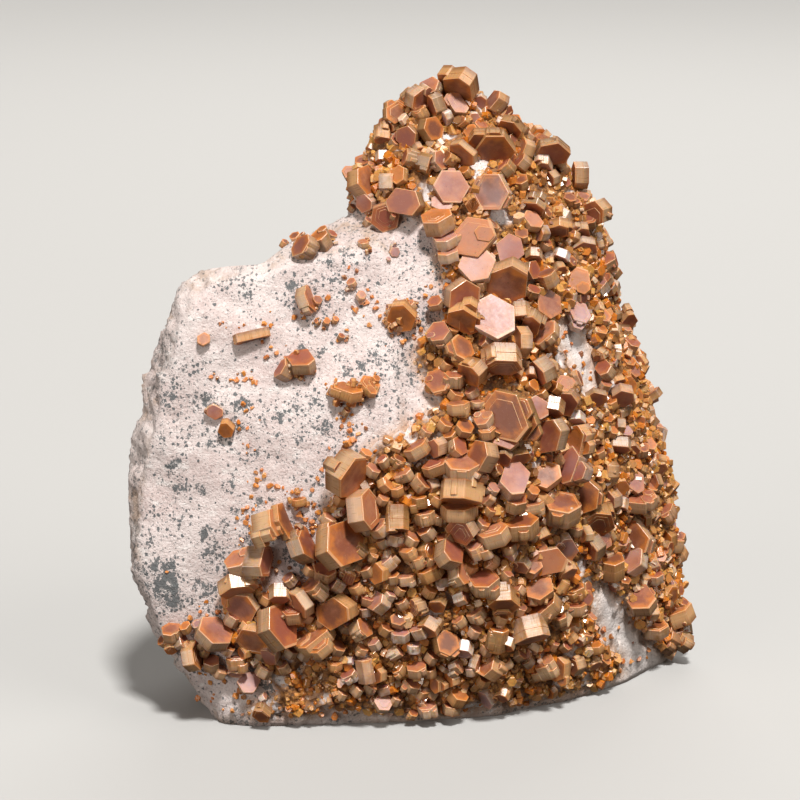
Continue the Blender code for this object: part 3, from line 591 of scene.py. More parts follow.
def field_depth(points):
    """How far inside the crystal field each point is, in sheet units."""
    front = FRONT.places(points)
    depth = np.minimum(depth_inside(CRUST_OUTLINE, front), depth_inside(FAR_OUTLINE, SIDE.places(points)))
    depth = np.minimum(depth, -window_depth(front))
    for low, high in BARE_BOXES:
        low = np.array(low) * MM
        high = np.array(high) * MM
        outside = np.maximum(low - points, points - high).max(1)
        depth = np.minimum(depth, outside / SHEET_UNIT)
    return depth


def in_ellipses(ellipses, places):
    """How much each place on the sheet is in one of the ellipses, from 0 to 1."""
    share = np.zeros(len(places))
    for across, down, width, height in ellipses:
        gap = np.hypot((places[:, 0] - across) / width, (places[:, 1] - down) / height)
        share = np.maximum(share, smoothstep(1.3, 0.8, gap))
    return share


def window_depth(places):
    """How far inside the side or the foot window each place on the sheet is."""
    return np.maximum(depth_inside(SIDE_WINDOW, places), depth_inside(FOOT_WINDOW, places))


def kept_clear(places):
    """Where no small crystals stand: the windows with a margin, and the glimpses of rock."""
    return np.maximum(smoothstep(-6, -3, window_depth(places)), in_ellipses(GLIMPSES, places))


def bareness(points, depth):
    """How bare of crystals the field is at each point, from 0 to 1."""
    patches = np.array([noise.noise(Vector(p) / PATCH_SIZE) for p in points])
    share = np.maximum(smoothstep(0.34, 0.5, patches), smoothstep(9, 0, depth) * 0.8)
    return np.maximum(share, in_ellipses(GLIMPSES, FRONT.places(points)))


# The rock.


def chipped(point, size):
    """A broken surface: flat chips, each tilted its own way, with steps between them."""
    _, cells = noise.voronoi(point / size)
    tilt = noise.cell_vector(cells[0] * 7.31)
    step = noise.cell(cells[0] * 3.17)
    return tilt.dot(point / size - cells[0]) + 0.35 * step


def rock_relief(point, broken):
    """The height of the fine relief here, in metres."""
    wave = noise.fractal(point / WAVE_SIZE, 1.0, 2.0, 3) * 0.3
    pit = min(noise.noise(point / PIT_SIZE) + 0.32, 0) * 0.9
    grain = noise.fractal(point / GRAIN_SIZE, 0.6, 2.1, 3) * 0.11
    smooth_side = wave + pit + grain
    if broken < 0.01:
        return smooth_side * MM
    chips = chipped(point, CHIP_SIZE) * 0.75 + chipped(point + CHIP_SHIFT, SMALL_CHIP_SIZE) * 0.3
    knobs = noise.fractal(point / KNOB_SIZE, 0.8, 2.2, 4) * 0.55
    rough = chips + knobs + grain * 3.4 + wave
    return (smooth_side * (1 - broken) + rough * broken) * MM


def lowered(points):
    """The rock's top left corner brought down to its outline, so that the ledge starts behind the face."""
    front = FRONT.places(points)
    across, down = np.array(LEDGE_OUTLINE, float).T
    limit = np.interp(front[:, 0], across, down)
    span = smoothstep(across[0], across[1], front[:, 0]) * smoothstep(across[-1], across[-2], front[:, 0])
    over = np.maximum(limit - front[:, 1], 0) * span * SHEET_UNIT
    return points - np.array(FRONT.up) * over[:, None]


def build_rock(materials):
    source = new_object("rock_source", frame["nodes"]["matrix"].data.copy())
    even = source.modifiers.new("even", "REMESH")
    even.mode = "VOXEL"
    even.voxel_size = ROCK_VOXEL
    graph = bpy.context.evaluated_depsgraph_get()
    mesh = bpy.data.meshes.new_from_object(source.evaluated_get(graph), depsgraph=graph)
    bpy.data.objects.remove(source, do_unlink=True)
    foot = points_of(mesh)[:, 2] < ROCK_VOXEL * 0.6
    smooth(mesh, ROCK_SMOOTHING)
    points = points_of(mesh)
    normals = points_of(mesh, "normal")
    broken = smoothstep(SMOOTH_FROM, BROKEN_FROM, normals[:, 1])
    broken = np.maximum(broken, 0.75 * smoothstep(*FOOT_BREAK, points[:, 2]))
    heights = [rock_relief(Vector(p), b) for p, b in zip(points, broken)]
    heights = np.array(heights) * smoothstep(0, 1.5 * MM, points[:, 2])
    points += normals * heights[:, None]
    swell = np.exp(-(((points[:, 2] - SWELL_HEIGHT) / SWELL_REACH) ** 2))
    points[:, 0] -= smoothstep(*SWELL_ACROSS, points[:, 0]) * swell * LEFT_SWELL
    points = lowered(points)
    points[foot, 2] = 0
    points[:, 2] = np.maximum(points[:, 2], 0)
    low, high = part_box("matrix")
    points = np.clip(points, np.array(low) - ROCK_SLACK * np.array((1, 1, 0)), np.array(high) + ROCK_SLACK)
    set_points(mesh, points)
    depth = field_depth(points)
    front = FRONT.places(points)
    facing = smoothstep(0.0, 0.4, -normals[:, 1])
    blotch = np.zeros(len(points))
    for across, down, radius in BLOTCHES:
        gap = np.hypot(front[:, 0] - across, front[:, 1] - down)
        blotch = np.maximum(blotch, smoothstep(1.7, 0.5, gap / radius))
    # Below 0 the blotches stand for the windows, painted pale: partly the rock's own clean colour there and
    # partly painted light against the shade of the crystals round them.
    set_attribute(mesh, "blotch", blotch * facing - 1.5 * smoothstep(-14, -4, window_depth(front)))
    set_attribute(mesh, "broken", broken)
    set_attribute(mesh, "field", smoothstep(-14, 8, depth))
    mesh.polygons.foreach_set("use_smooth", [True] * len(mesh.polygons))
    return new_object("rock", mesh, *materials)


def build_crust(rock, materials):
    """The granular crust that the crystals stand on: the rock's own surface, raised and lumpy."""
    bm = bmesh.new()
    bm.from_mesh(rock.data)
    depth = field_depth(points_of(rock.data))
    bm.verts.ensure_lookup_table()
    outside = [vert for vert, inside in zip(bm.verts, depth > -CRUST_MARGIN) if not inside]
    bmesh.ops.delete(bm, geom=outside, context="VERTS")
    near = {vert for vert, inside in zip(bm.verts, depth[depth > -CRUST_MARGIN] > -FINE_MARGIN) if inside}
    fine = [edge for edge in bm.edges if near.intersection(edge.verts)]
    bmesh.ops.subdivide_edges(bm, edges=fine, cuts=1, use_grid_fill=True)
    mesh = bpy.data.meshes.new("crystal_crust")
    bm.to_mesh(mesh)
    bm.free()
    points = points_of(mesh)
    normals = points_of(mesh, "normal")
    ragged = np.array([noise.noise(Vector(p) / RAGGED_SIZE) for p in points]) * RAGGED_REACH
    depth = field_depth(points) + ragged
    raised = smoothstep(-2, 7, depth)
    bare = bareness(points, depth)
    hollow = in_ellipses(RECESSES, FRONT.places(points))
    grains = []
    for p in points:
        place = Vector(p) / CRUST_GRAIN
        distances, cells = noise.voronoi(place)
        lump = 0.55 - distances[0] + 0.5 * noise.cell(cells[0] * 5.1)
        grains.append(lump * 0.55 + noise.fractal(Vector(p) / LUMP_SIZE, 1.0, 2.0, 2) * 0.5)
    grains = np.array(grains)
    height = CRUST_HEIGHT * (0.8 - 0.5 * bare - 0.9 * hollow) + grains * MM * (1 - 0.5 * bare)
    heights = raised * height - (1 - raised) * CRUST_UNDER
    set_points(mesh, points + normals * heights[:, None])
    # The lump attribute is the grains' height, lowered in the recesses; the crust's material paints shade
    # where it is low.
    set_attribute(mesh, "lump", grains - hollow)
    set_attribute(mesh, "bare", bare)
    mesh.polygons.foreach_set("use_smooth", [True] * len(mesh.polygons))
    return new_object("crystal_crust", mesh, *materials)


# Crystals.


def hexagon(distances, shift=(0, 0), cut=0.0):
    """The corners of a hexagon whose sides are this far from its middle. A cut takes the corners off."""
    angles = np.radians(np.arange(6) * 60)
    corners = []
    for side in range(6):
        following = (side + 1) % 6
        lines = np.array([
            (math.cos(angles[side]), math.sin(angles[side])),
            (math.cos(angles[following]), math.sin(angles[following])),
        ])
        corners.append(np.linalg.solve(lines, (distances[side], distances[following])))
    corners = np.array(corners) + shift
    if not cut:
        return corners
    before = np.roll(corners, 1, 0) - corners
    after = np.roll(corners, -1, 0) - corners
    back = corners + before / np.linalg.norm(before, axis=1)[:, None] * cut
    on = corners + after / np.linalg.norm(after, axis=1)[:, None] * cut
    return np.stack((back, on), 1).reshape(-1, 2)


class Cluster:
    """Crystals gathered into one mesh, with what their material needs to know at every point."""

    def __init__(self):
        self.points = []
        self.faces = []
        self.kinds = []
        self.grain = []
        self.shape = []
        self.tone = []
        self.count = 0

    def add(self, place, rings, apothem, half, tone, rng):
        """One crystal from rings of corners (outline, height), closed by its first and last ring."""
        offset = [rng.uniform(0, 90) for _ in range(3)]
        size = len(rings[0][0])
        local = np.concatenate([np.column_stack((ring, np.full(size, z))) for ring, z in rings])
        turn = np.array(place.to_3x3())
        self.points.append(local @ turn.T + np.array(place.translation))
        self.grain.append(local / MM + offset)
        self.shape.append(local / (apothem, apothem, half))
        self.tone.append(np.tile(tone, (len(local), 1)))
        first = self.count
        self.faces.append([first + corner for corner in reversed(range(size))])
        self.kinds.append(BASAL)
        for ring in range(len(rings) - 1):
            inward = abs(np.linalg.norm(rings[ring][0][0]) - np.linalg.norm(rings[ring + 1][0][0]))
            rise = abs(rings[ring][1] - rings[ring + 1][1])
            kind = BASAL if inward > rise * 1.5 else PRISM
            for corner in range(size):
                low = first + ring * size + corner
                next_low = first + ring * size + (corner + 1) % size
                self.faces.append([low, next_low, next_low + size, low + size])
                self.kinds.append(kind)
        last = first + (len(rings) - 1) * size
        self.faces.append([last + corner for corner in range(size)])
        self.kinds.append(BASAL)
        self.count += len(local)

    def finish(self, name, materials):
        mesh = bpy.data.meshes.new(name)
        mesh.from_pydata(np.concatenate(self.points), [], self.faces)
        set_attribute(mesh, "grain", np.concatenate(self.grain))
        set_attribute(mesh, "shape", np.concatenate(self.shape))
        set_attribute(mesh, "tone", np.concatenate(self.tone))
        item = new_object(name, mesh, *materials)
        if len(materials) > 1:
            mesh.polygons.foreach_set("material_index", self.kinds)
        mesh.update()
        return item


def crystal_tone(rng, name=None, warm=0.0):
    """Hue from orange to rose, lightness and painted sheen, a reflection of the light painted into the
    colour.
    """
    hue, light, painted_sheen = TONES[name]
    if name is None:
        hue = min(max(rng.gauss(0.5 - warm, 0.3), 0), 1)
        light = min(max(rng.gauss(0.5, 0.28), 0), 1)
        painted_sheen = min(max(rng.gauss(0, 0.16), 0), 0.5)
    return hue, light, painted_sheen


def uneven_sides(apothem, uneven, rng, squash=None):
    """How far each side of a hexagon is from its middle. A squash is a pair of sides and its share."""
    sides = apothem * (1 + np.array([rng.uniform(-uneven, uneven) for _ in range(6)]))
    pair, share = squash or (rng.choice((1, 2)), 1 - max(rng.uniform(-0.3, 0.32), 0))
    sides[[pair, pair + 3]] *= share
    return sides


def grow_tablet(cluster, place, width, thickness, rng, tone, squash=None):
    """A detailed crystal: uneven sides, chamfers, growth steps round it, a terrace or a hollow on top."""
    apothem = width / 2 * math.cos(math.radians(30))
    half = thickness / 2
    sides = uneven_sides(apothem, UNEVEN, rng, squash)
    chamfer = min(CHAMFER, half * 0.2) * rng.uniform(0.7, 1.3)
    cut = chamfer * 1.3

    def ring(inset, height, shift=(0, 0)):
        return hexagon(sides - inset, shift, cut), height

    rings = [ring(apothem * 0.45, -half + chamfer * 0.6), ring(apothem * 0.45 - chamfer, -half)]
    rings += [ring(chamfer, -half), ring(0, -half + chamfer)]
    plates = max(1, min(3, round(thickness / PLATE + rng.uniform(-0.6, 0.7))))
    low = -half + chamfer
    inset = 0.0
    for plate in range(1, plates):
        level = -half + thickness * (plate + rng.uniform(-0.25, 0.25)) / plates
        groove = rng.uniform(0.4, 1.0) * GROOVE
        if level - groove > low + groove:
            rings.append(ring(inset, level - groove * 0.6))
            following = max(0.0, inset + rng.uniform(-0.035, 0.03) * apothem)
            rings.append(ring(max(inset, following) + groove, level))
            rings.append(ring(following, level + groove * 0.6))
            inset = following
            low = level
    rings.append(ring(inset, half - chamfer))
    rings.append(ring(inset + chamfer, half))
    shift = np.array((rng.uniform(-1, 1), rng.uniform(-1, 1))) * apothem * 0.12
    style = rng.random()
    step = rng.uniform(*TERRACE_HEIGHTS) * MM
    if style < TERRACED:
        edge = inset + apothem * rng.uniform(0.16, 0.4)
        rings.append(ring(edge, half, shift))
        rings.append(ring(edge + step, half + step, shift))
        if rng.random() < 0.5:
            edge += apothem * rng.uniform(0.15, 0.3)
            rings.append(ring(edge, half + step, shift * 1.5))
            rings.append(ring(edge + step, half + step * 1.8, shift * 1.5))
    elif style < HOLLOW:
        edge = inset + apothem * rng.uniform(0.1, 0.22)
        rings.append(ring(edge, half, shift * 0.5))
        rings.append(ring(edge + step, half - step, shift * 0.5))
    cluster.add(place, rings, apothem, half, tone, rng)


def grow_prism(cluster, place, width, thickness, rng, tone, uneven=SMALL_UNEVEN):
    """A small crystal: a hexagonal prism with uneven sides and a narrow chamfer on one end."""
    apothem = width / 2 * math.cos(math.radians(30))
    half = thickness / 2
    sides = uneven_sides(apothem, uneven, rng)
    chamfer = min(SMALL_CHAMFER, half * 0.25)
    rings = [(hexagon(sides), -half), (hexagon(sides), half - chamfer), (hexagon(sides - chamfer), half)]
    cluster.add(place, rings, apothem, half, tone, rng)


def grow_companions(cluster, place, width, thickness, rng, tone):
    """Smaller crystals grown into a large one, first nearly parallel to it and then at any angle."""
    for _ in range(rng.choice((0, 1, 2, 2, 3))):
        angle = math.radians(60 * rng.randrange(6) + rng.uniform(-8, 8))
        away = width * rng.uniform(0.26, 0.40)
        rise = thickness * rng.uniform(-0.45, 0.25)
        beside = place @ Matrix.Translation((math.cos(angle) * away, math.sin(angle) * away, rise))
        tilt = Matrix.Rotation(math.radians(rng.uniform(-5, 5)), 4, "X")
        size = width * rng.uniform(0.3, 0.6)
        grow_tablet(cluster, beside @ tilt, size, thickness * rng.uniform(0.5, 0.9), rng, tone)
    for _ in range(rng.choice((0, 0, 1, 1, 2))):
        angle = rng.uniform(0, 2 * math.pi)
        away = width * rng.uniform(0.3, 0.5)
        rise = thickness * rng.uniform(-0.3, 0.4)
        beside = place @ Matrix.Translation((math.cos(angle) * away, math.sin(angle) * away, rise))
        turn = Vector([rng.gauss(0, 1) for _ in range(3)]).to_track_quat("Z", "Y").to_matrix().to_4x4()
        size = width * rng.uniform(0.12, 0.26)
        grow_prism(cluster, beside @ turn, size, size * rng.uniform(0.3, 0.8), rng, tone)


def grow_row(cluster, sheet, tree, row, bed, rng, warm=0.0, squash=None):
    """The crystal of one row of a table, with its companions if it is a large one."""
    width = row[2] * SHEET_UNIT
    thickness = row[3] * SHEET_UNIT
    place = place_crystal(sheet, tree, row, bed)
    tone = crystal_tone(rng, row[7] if len(row) > 7 else None, warm)
    if row[2] < DETAILED_FROM:
        grow_prism(cluster, place, width, thickness, rng, tone)
        return
    grow_tablet(cluster, place, width, thickness, rng, tone, squash)
    if (row[2] >= STEPPED_FROM or rng.random() < COMPANION_CHANCE) and squash is None:
        grow_companions(cluster, place, width, thickness, rng, tone)


def sprinkle(mesh, count, draws):
    """Points spread evenly over a mesh, with the surface's direction at each."""
    mesh.calc_loop_triangles()
    corners = np.zeros(len(mesh.loop_triangles) * 3, int)
    mesh.loop_triangles.foreach_get("vertices", corners)
    triangles = points_of(mesh)[corners.reshape(-1, 3)]
    normals = np.cross(triangles[:, 1] - triangles[:, 0], triangles[:, 2] - triangles[:, 0])
    areas = np.linalg.norm(normals, axis=1)
    chosen = draws.choice(len(triangles), count, p=areas / areas.sum())
    first, second = draws.random((2, count))
    over = first + second > 1
    first[over], second[over] = 1 - first[over], 1 - second[over]
    picked = triangles[chosen]
    edges = picked[:, 1:] - picked[:, :1]
    points = picked[:, 0] + edges[:, 0] * first[:, None] + edges[:, 1] * second[:, None]
    return points, normals[chosen] / areas[chosen][:, None]


def random_place(point, normal, lift, spread, rng):
    """A place on a surface with the axis turned away from the surface's own direction at random."""
    lean = Vector([rng.gauss(0, 1) for _ in range(3)]).normalized()
    axis = (Vector(normal) + lean * spread).normalized()
    turn = axis.to_track_quat("Z", "Y").to_matrix() @ Matrix.Rotation(rng.uniform(0, math.pi), 3, "Z")
    return Matrix.Translation(Vector(point) + Vector(normal) * lift) @ turn.to_4x4()


# Materials.

GLOW_DEPTH = 1.2 * MM


class Look:
    """A material being built. Each call adds a node, joins its inputs and returns its output."""

    def __init__(self, name):
        self.material = bpy.data.materials.new(name)
        self.material.use_nodes = True
        self.tree = self.material.node_tree
        self.shader = self.tree.nodes["Principled BSDF"]
        self.colour = None

    def join(self, value, socket):
        if isinstance(value, bpy.types.NodeSocket):
            self.tree.links.new(value, socket)
        elif isinstance(value, (tuple, list)) and len(socket.default_value) == 4 and len(value) == 3:
            socket.default_value = (*value, 1)
        else:
            socket.default_value = value

    def node(self, kind, inputs=(), output=0, **settings):
        node = self.tree.nodes.new(kind)
        for name, value in settings.items():
            setattr(node, name, value)
        for name, value in dict(inputs).items():
            self.join(value, node.inputs[name])
        return node.outputs[output]

    def set(self, **inputs):
        for name, value in inputs.items():
            self.join(value, self.shader.inputs[name.replace("_", " ")])

    def glow(self):
        """Light that has passed through a crystal comes out orange."""
        self.set(Subsurface_Weight=0.2, Subsurface_Radius=(1.0, 0.30, 0.06), Subsurface_Scale=GLOW_DEPTH)

    def place(self):
        """The point on the object, in millimetres."""
        point = self.node("ShaderNodeTexCoord", output="Object")
        return self.node("ShaderNodeVectorMath", {0: point, "Scale": 1 / MM}, operation="SCALE")

    def vector(self, name):
        return self.node("ShaderNodeAttribute", output="Vector", attribute_name=name)

    def number(self, name):
        return self.node("ShaderNodeAttribute", output="Fac", attribute_name=name)

    def parts(self, vector):
        node = self.tree.nodes.new("ShaderNodeSeparateXYZ")
        self.join(vector, node.inputs[0])
        return node.outputs[0], node.outputs[1], node.outputs[2]

    def scaled(self, vector, factors):
        return self.node("ShaderNodeVectorMath", {0: vector, 1: factors}, operation="MULTIPLY")

    def moved(self, vector, other, share):
        """The vector with a share of another one's distance from its middle added."""
        centred = self.node("ShaderNodeVectorMath", {0: other, 1: (0.5, 0.5, 0.5)}, operation="SUBTRACT")
        shift = self.node("ShaderNodeVectorMath", {0: centred, "Scale": share}, operation="SCALE")
        return self.node("ShaderNodeVectorMath", {0: vector, 1: shift}, operation="ADD")

    def noise(self, vector, scale, detail=2.0, roughness=0.5, output=0):
        inputs = {"Vector": vector, "Scale": scale, "Detail": detail, "Roughness": roughness}
        return self.node("ShaderNodeTexNoise", inputs, output)

    def cells(self, vector, scale):
        """Voronoi cells: the distance from each one's middle and its own random number."""
        node = self.tree.nodes.new("ShaderNodeTexVoronoi")
        self.join(vector, node.inputs["Vector"])
        node.inputs["Scale"].default_value = scale
        return node.outputs["Distance"], self.parts(node.outputs["Color"])[0]

    def sum(self, kind, first, second=0.0, third=0.0):
        return self.node("ShaderNodeMath", {0: first, 1: second, 2: third}, operation=kind)

    def step(self, value, low, high, start=0.0, end=1.0):
        inputs = {"Value": value, "From Min": low, "From Max": high, "To Min": start, "To Max": end}
        return self.node("ShaderNodeMapRange", inputs, interpolation_type="SMOOTHSTEP")

    def mix(self, share, first, second):
        node = self.tree.nodes.new("ShaderNodeMix")
        node.data_type = "RGBA"
        self.join(share, node.inputs[0])
        self.join(first, node.inputs[6])
        self.join(second, node.inputs[7])
        return node.outputs[2]

    def over(self, first, second, value, low, high, most=1.0):
        """The first colour where the value is at low, and the most of the second where it is at high."""
        return self.mix(self.step(value, low, high, 0.0, most), first, second)

    def paint(self, colour, value, low, high, most=1.0):
        """Another colour over the present one: none where the value is at low, the most of it at high."""
        self.colour = self.over(self.colour, colour, value, low, high, most)

    def cover(self, colour, share):
        self.colour = self.mix(share, self.colour, colour)

    def bump(self, height, distance, strength=1.0, under=None):
        inputs = {"Height": height, "Distance": distance, "Strength": strength}
        if under:
            inputs["Normal"] = under
        return self.node("ShaderNodeBump", inputs)

    def specks(self, vector, scale, threshold, size):
        """Irregular dots in those cells whose number is above the threshold."""
        distance, number = self.cells(vector, scale)
        radius = self.sum("MULTIPLY", self.sum("SUBTRACT", number, threshold), size)
        radius = self.sum("MINIMUM", radius, 0.52)
        return self.step(self.sum("SUBTRACT", radius, distance), 0.0, 0.1)


CREAM = (0.71, 0.615, 0.59)
PINK_CREAM = (0.62, 0.505, 0.48)
DEEP_PINK = (0.42, 0.30, 0.27)
CHALK = (0.81, 0.755, 0.725)
BUFF = (0.46, 0.39, 0.34)
MANGANESE = (0.085, 0.10, 0.105)
OCHRE = (0.45, 0.19, 0.045)
DARK_OCHRE = (0.11, 0.042, 0.014)
RUST = (0.60, 0.30, 0.10)
AGED = (0.46, 0.32, 0.23)


def rock_look():
    look = Look("speckled_rock")
    place = look.place()
    wander = look.noise(place, 0.35, 3, 0.6, output=1)
    cloud = look.noise(look.moved(place, wander, 6.0), 0.10, 3, 0.55)
    look.colour = look.over(CREAM, PINK_CREAM, cloud, 0.35, 0.68)
    streak = look.noise(look.moved(look.scaled(place, (1, 1, 2.4)), wander, 5.0), 0.22, 4, 0.6)
    look.paint(CHALK, streak, 0.52, 0.72, 0.75)
    grain = look.noise(place, 1.9, 5, 0.78)
    look.paint(DEEP_PINK, grain, 0.52, 0.68, 0.5)
    look.paint(CHALK, grain, 0.48, 0.34, 0.65)
    broken = look.number("broken")
    look.cover(BUFF, look.sum("MULTIPLY", broken, 0.2))
    aged = look.step(look.noise(look.moved(place, wander, 4.0), 0.14, 5, 0.65), 0.48, 0.66, 0, 0.7)
    look.cover(AGED, look.sum("MULTIPLY", aged, broken))
    # The windows painted pale: partly the clean rock and partly painted light.
    look.paint(CHALK, look.number("blotch"), -0.1, -1.2, 0.7)
    field = look.number("field")
    stain = look.noise(place, 0.8, 4, 0.65)
    stained = look.over(RUST, OCHRE, stain, 0.4, 0.62)
    stained = look.over(stained, CHALK, stain, 0.50, 0.34)
    look.cover(stained, look.sum("MULTIPLY", field, 0.75))
    rough = look.noise(place, 2.2, 2, 0.6, output=1)
    ragged = look.moved(place, rough, 0.9)
    bands = look.noise(place, 0.085, 2, 0.5)
    blotch = look.number("blotch")
    spare = look.sum("MULTIPLY_ADD", bands, -1.15, 1.02)
    threshold = look.sum("MULTIPLY_ADD", blotch, -0.35, spare)
    small = look.specks(ragged, 1.25, look.sum("ADD", threshold, 0.03), 1.1)
    fine = look.specks(ragged, 2.4, look.sum("ADD", threshold, 0.12), 1.1)
    patches = look.noise(look.scaled(ragged, (1, 1, 0.8)), 0.62, 6, 0.74)
    bound = look.sum("MULTIPLY_ADD", blotch, -0.13, look.sum("MULTIPLY_ADD", bands, -0.20, 0.700))
    patch = look.step(look.sum("SUBTRACT", patches, bound), 0.0, 0.035)
    specks = look.sum("MAXIMUM", patch, look.sum("MAXIMUM", small, fine))
    bare = look.sum("SUBTRACT", 1.0, look.sum("MULTIPLY", broken, 0.25))
    specks = look.sum("MULTIPLY", specks, bare)
    look.cover(MANGANESE, look.sum("MULTIPLY", specks, 0.9))
    pores, _ = look.cells(ragged, 1.6)
    height = look.sum("MULTIPLY_ADD", look.step(pores, 0.1, 0.4), 0.35, look.noise(place, 1.3, 5, 0.62))
    normal = look.bump(height, 0.6 * MM, 0.6)
    normal = look.bump(look.noise(place, 6.0, 3, 0.65), 0.12 * MM, 0.5, normal)
    roughness = look.step(grain, 0.3, 0.7, 0.72, 0.95)
    look.set(Base_Color=look.colour, Normal=normal, Roughness=roughness, Specular_IOR_Level=0.35)
    return look.material


def crust_look():
    look = Look("druse_crust")
    place = look.place()
    lump = look.number("lump")
    mottle = look.noise(place, 0.9, 4, 0.65)
    look.colour = look.over(DARK_OCHRE, OCHRE, mottle, 0.36, 0.64)
    look.paint(RUST, look.noise(place, 2.6, 3, 0.6), 0.50, 0.70, 0.8)
    # Painted shade: darker where the crust is low, between its grains and most in the recesses.
    look.paint(DARK_OCHRE, lump, 0.35, -0.25, 0.5)
    pale = look.over(CREAM, CHALK, look.noise(place, 1.9, 5, 0.75), 0.42, 0.6)
    speck = look.step(look.noise(place, 1.3, 4, 0.7), 0.60, 0.64, 0, 0.75)
    pale = look.mix(speck, pale, MANGANESE)
    pale = look.over(pale, RUST, mottle, 0.54, 0.62, 0.85)
    look.cover(pale, look.number("bare"))
    normal = look.bump(look.noise(place, 3.0, 4, 0.65), 0.3 * MM, 0.7)
    look.set(Base_Color=look.colour, Normal=normal, Roughness=look.step(mottle, 0.3, 0.7, 0.4, 0.75))
    return look.material


BROWN = (0.17, 0.044, 0.009)
ORANGE = (0.60, 0.18, 0.015)
ROSE = (0.27, 0.068, 0.034)
SALMON = (0.44, 0.175, 0.085)
KHAKI = (0.41, 0.25, 0.14)
TAN = (0.53, 0.24, 0.07)
OLIVE = (0.19, 0.095, 0.028)
RIM = (0.70, 0.45, 0.25)
SHEEN_LILAC = (0.50, 0.36, 0.39)
SHEEN_WHITE = (0.80, 0.74, 0.72)
UMBER = (0.11, 0.04, 0.011)
HONEY = (0.68, 0.33, 0.07)
PALE_HONEY = (0.72, 0.53, 0.38)
AMBER = (0.62, 0.24, 0.035)
TANGERINE = (0.56, 0.15, 0.02)


def hex_distance(look):
    """How far out a point is in its crystal: 0 on the axis and 1 on the prism faces."""
    x, y, _ = look.parts(look.vector("shape"))
    half = look.sum("MULTIPLY", x, 0.5)
    rise = look.sum("MULTIPLY", y, math.sin(math.radians(60)))
    first = look.sum("ABSOLUTE", x)
    second = look.sum("ABSOLUTE", look.sum("ADD", half, rise))
    third = look.sum("ABSOLUTE", look.sum("SUBTRACT", half, rise))
    return look.sum("MAXIMUM", first, look.sum("MAXIMUM", second, third))


def basal_look():
    """The flat ends of the crystals: brown to rose, with a warm orange border, partly the crystal's own
    zoning and partly painted glow of light through its edge, and a pale rim painted as a highlight along the
    edge.
    """
    look = Look("vanadinite_ends")
    hue, light, painted_sheen = look.parts(look.vector("tone"))
    grain = look.vector("grain")
    out = hex_distance(look)
    cloud = look.noise(grain, 0.42, 5, 0.62)
    inner = look.over(BROWN, ROSE, hue, 0.15, 0.75)
    lift = look.sum("MULTIPLY_ADD", cloud, 1.5, look.sum("MULTIPLY_ADD", light, 1.0, -1.05))
    look.colour = look.over(inner, SALMON, lift, 0.0, 0.75, 0.85)
    # Partly zoning, partly painted glow: orange towards the border, as light shining through the crystal's
    # edge.
    wavy = look.sum("MULTIPLY_ADD", look.noise(grain, 0.55, 4, 0.6), 1.3, out)
    border_glow_and_zoning = look.sum("MULTIPLY", look.step(wavy, 1.05, 1.75), look.step(hue, 1.0, 0.0, 0.35, 0.95))
    look.cover(ORANGE, border_glow_and_zoning)
    look.paint(ORANGE, hue, 0.14, 0.0, 0.5)
    # Painted sheen: a lilac reflection of the light painted over the ends, as much as the crystal's sheen
    # number gives.
    sheen_patches = look.step(look.noise(grain, 0.16, 3, 0.5), 0.70, 0.30)
    look.cover(SHEEN_LILAC, look.sum("MULTIPLY", painted_sheen, sheen_patches))
    dust = look.step(look.noise(grain, 3.8, 4, 0.72), 0.60, 0.72, 0, 0.3)
    look.cover(RIM, dust)
    chips = look.step(look.noise(grain, 2.2, 3, 0.6), 0.66, 0.70, 0, 0.6)
    look.cover(UMBER, chips)
    # Painted highlight: a pale line along the outer edge of the end.
    look.paint(RIM, out, 0.965, 0.99, 0.4)
    scratch = look.noise(look.scaled(grain, (1.0, 6.0, 1.0)), 1.3, 3, 0.6)
    normal = look.bump(look.noise(grain, 0.9, 4, 0.6), 0.09 * MM, 0.4)
    normal = look.bump(scratch, 0.012 * MM, 0.5, normal)
    roughness = look.step(look.noise(grain, 1.6, 3, 0.6), 0.3, 0.7, 0.46, 0.53)
    look.set(Base_Color=look.colour, Normal=normal, Roughness=roughness, IOR=1.7)
    look.glow()
    return look.material


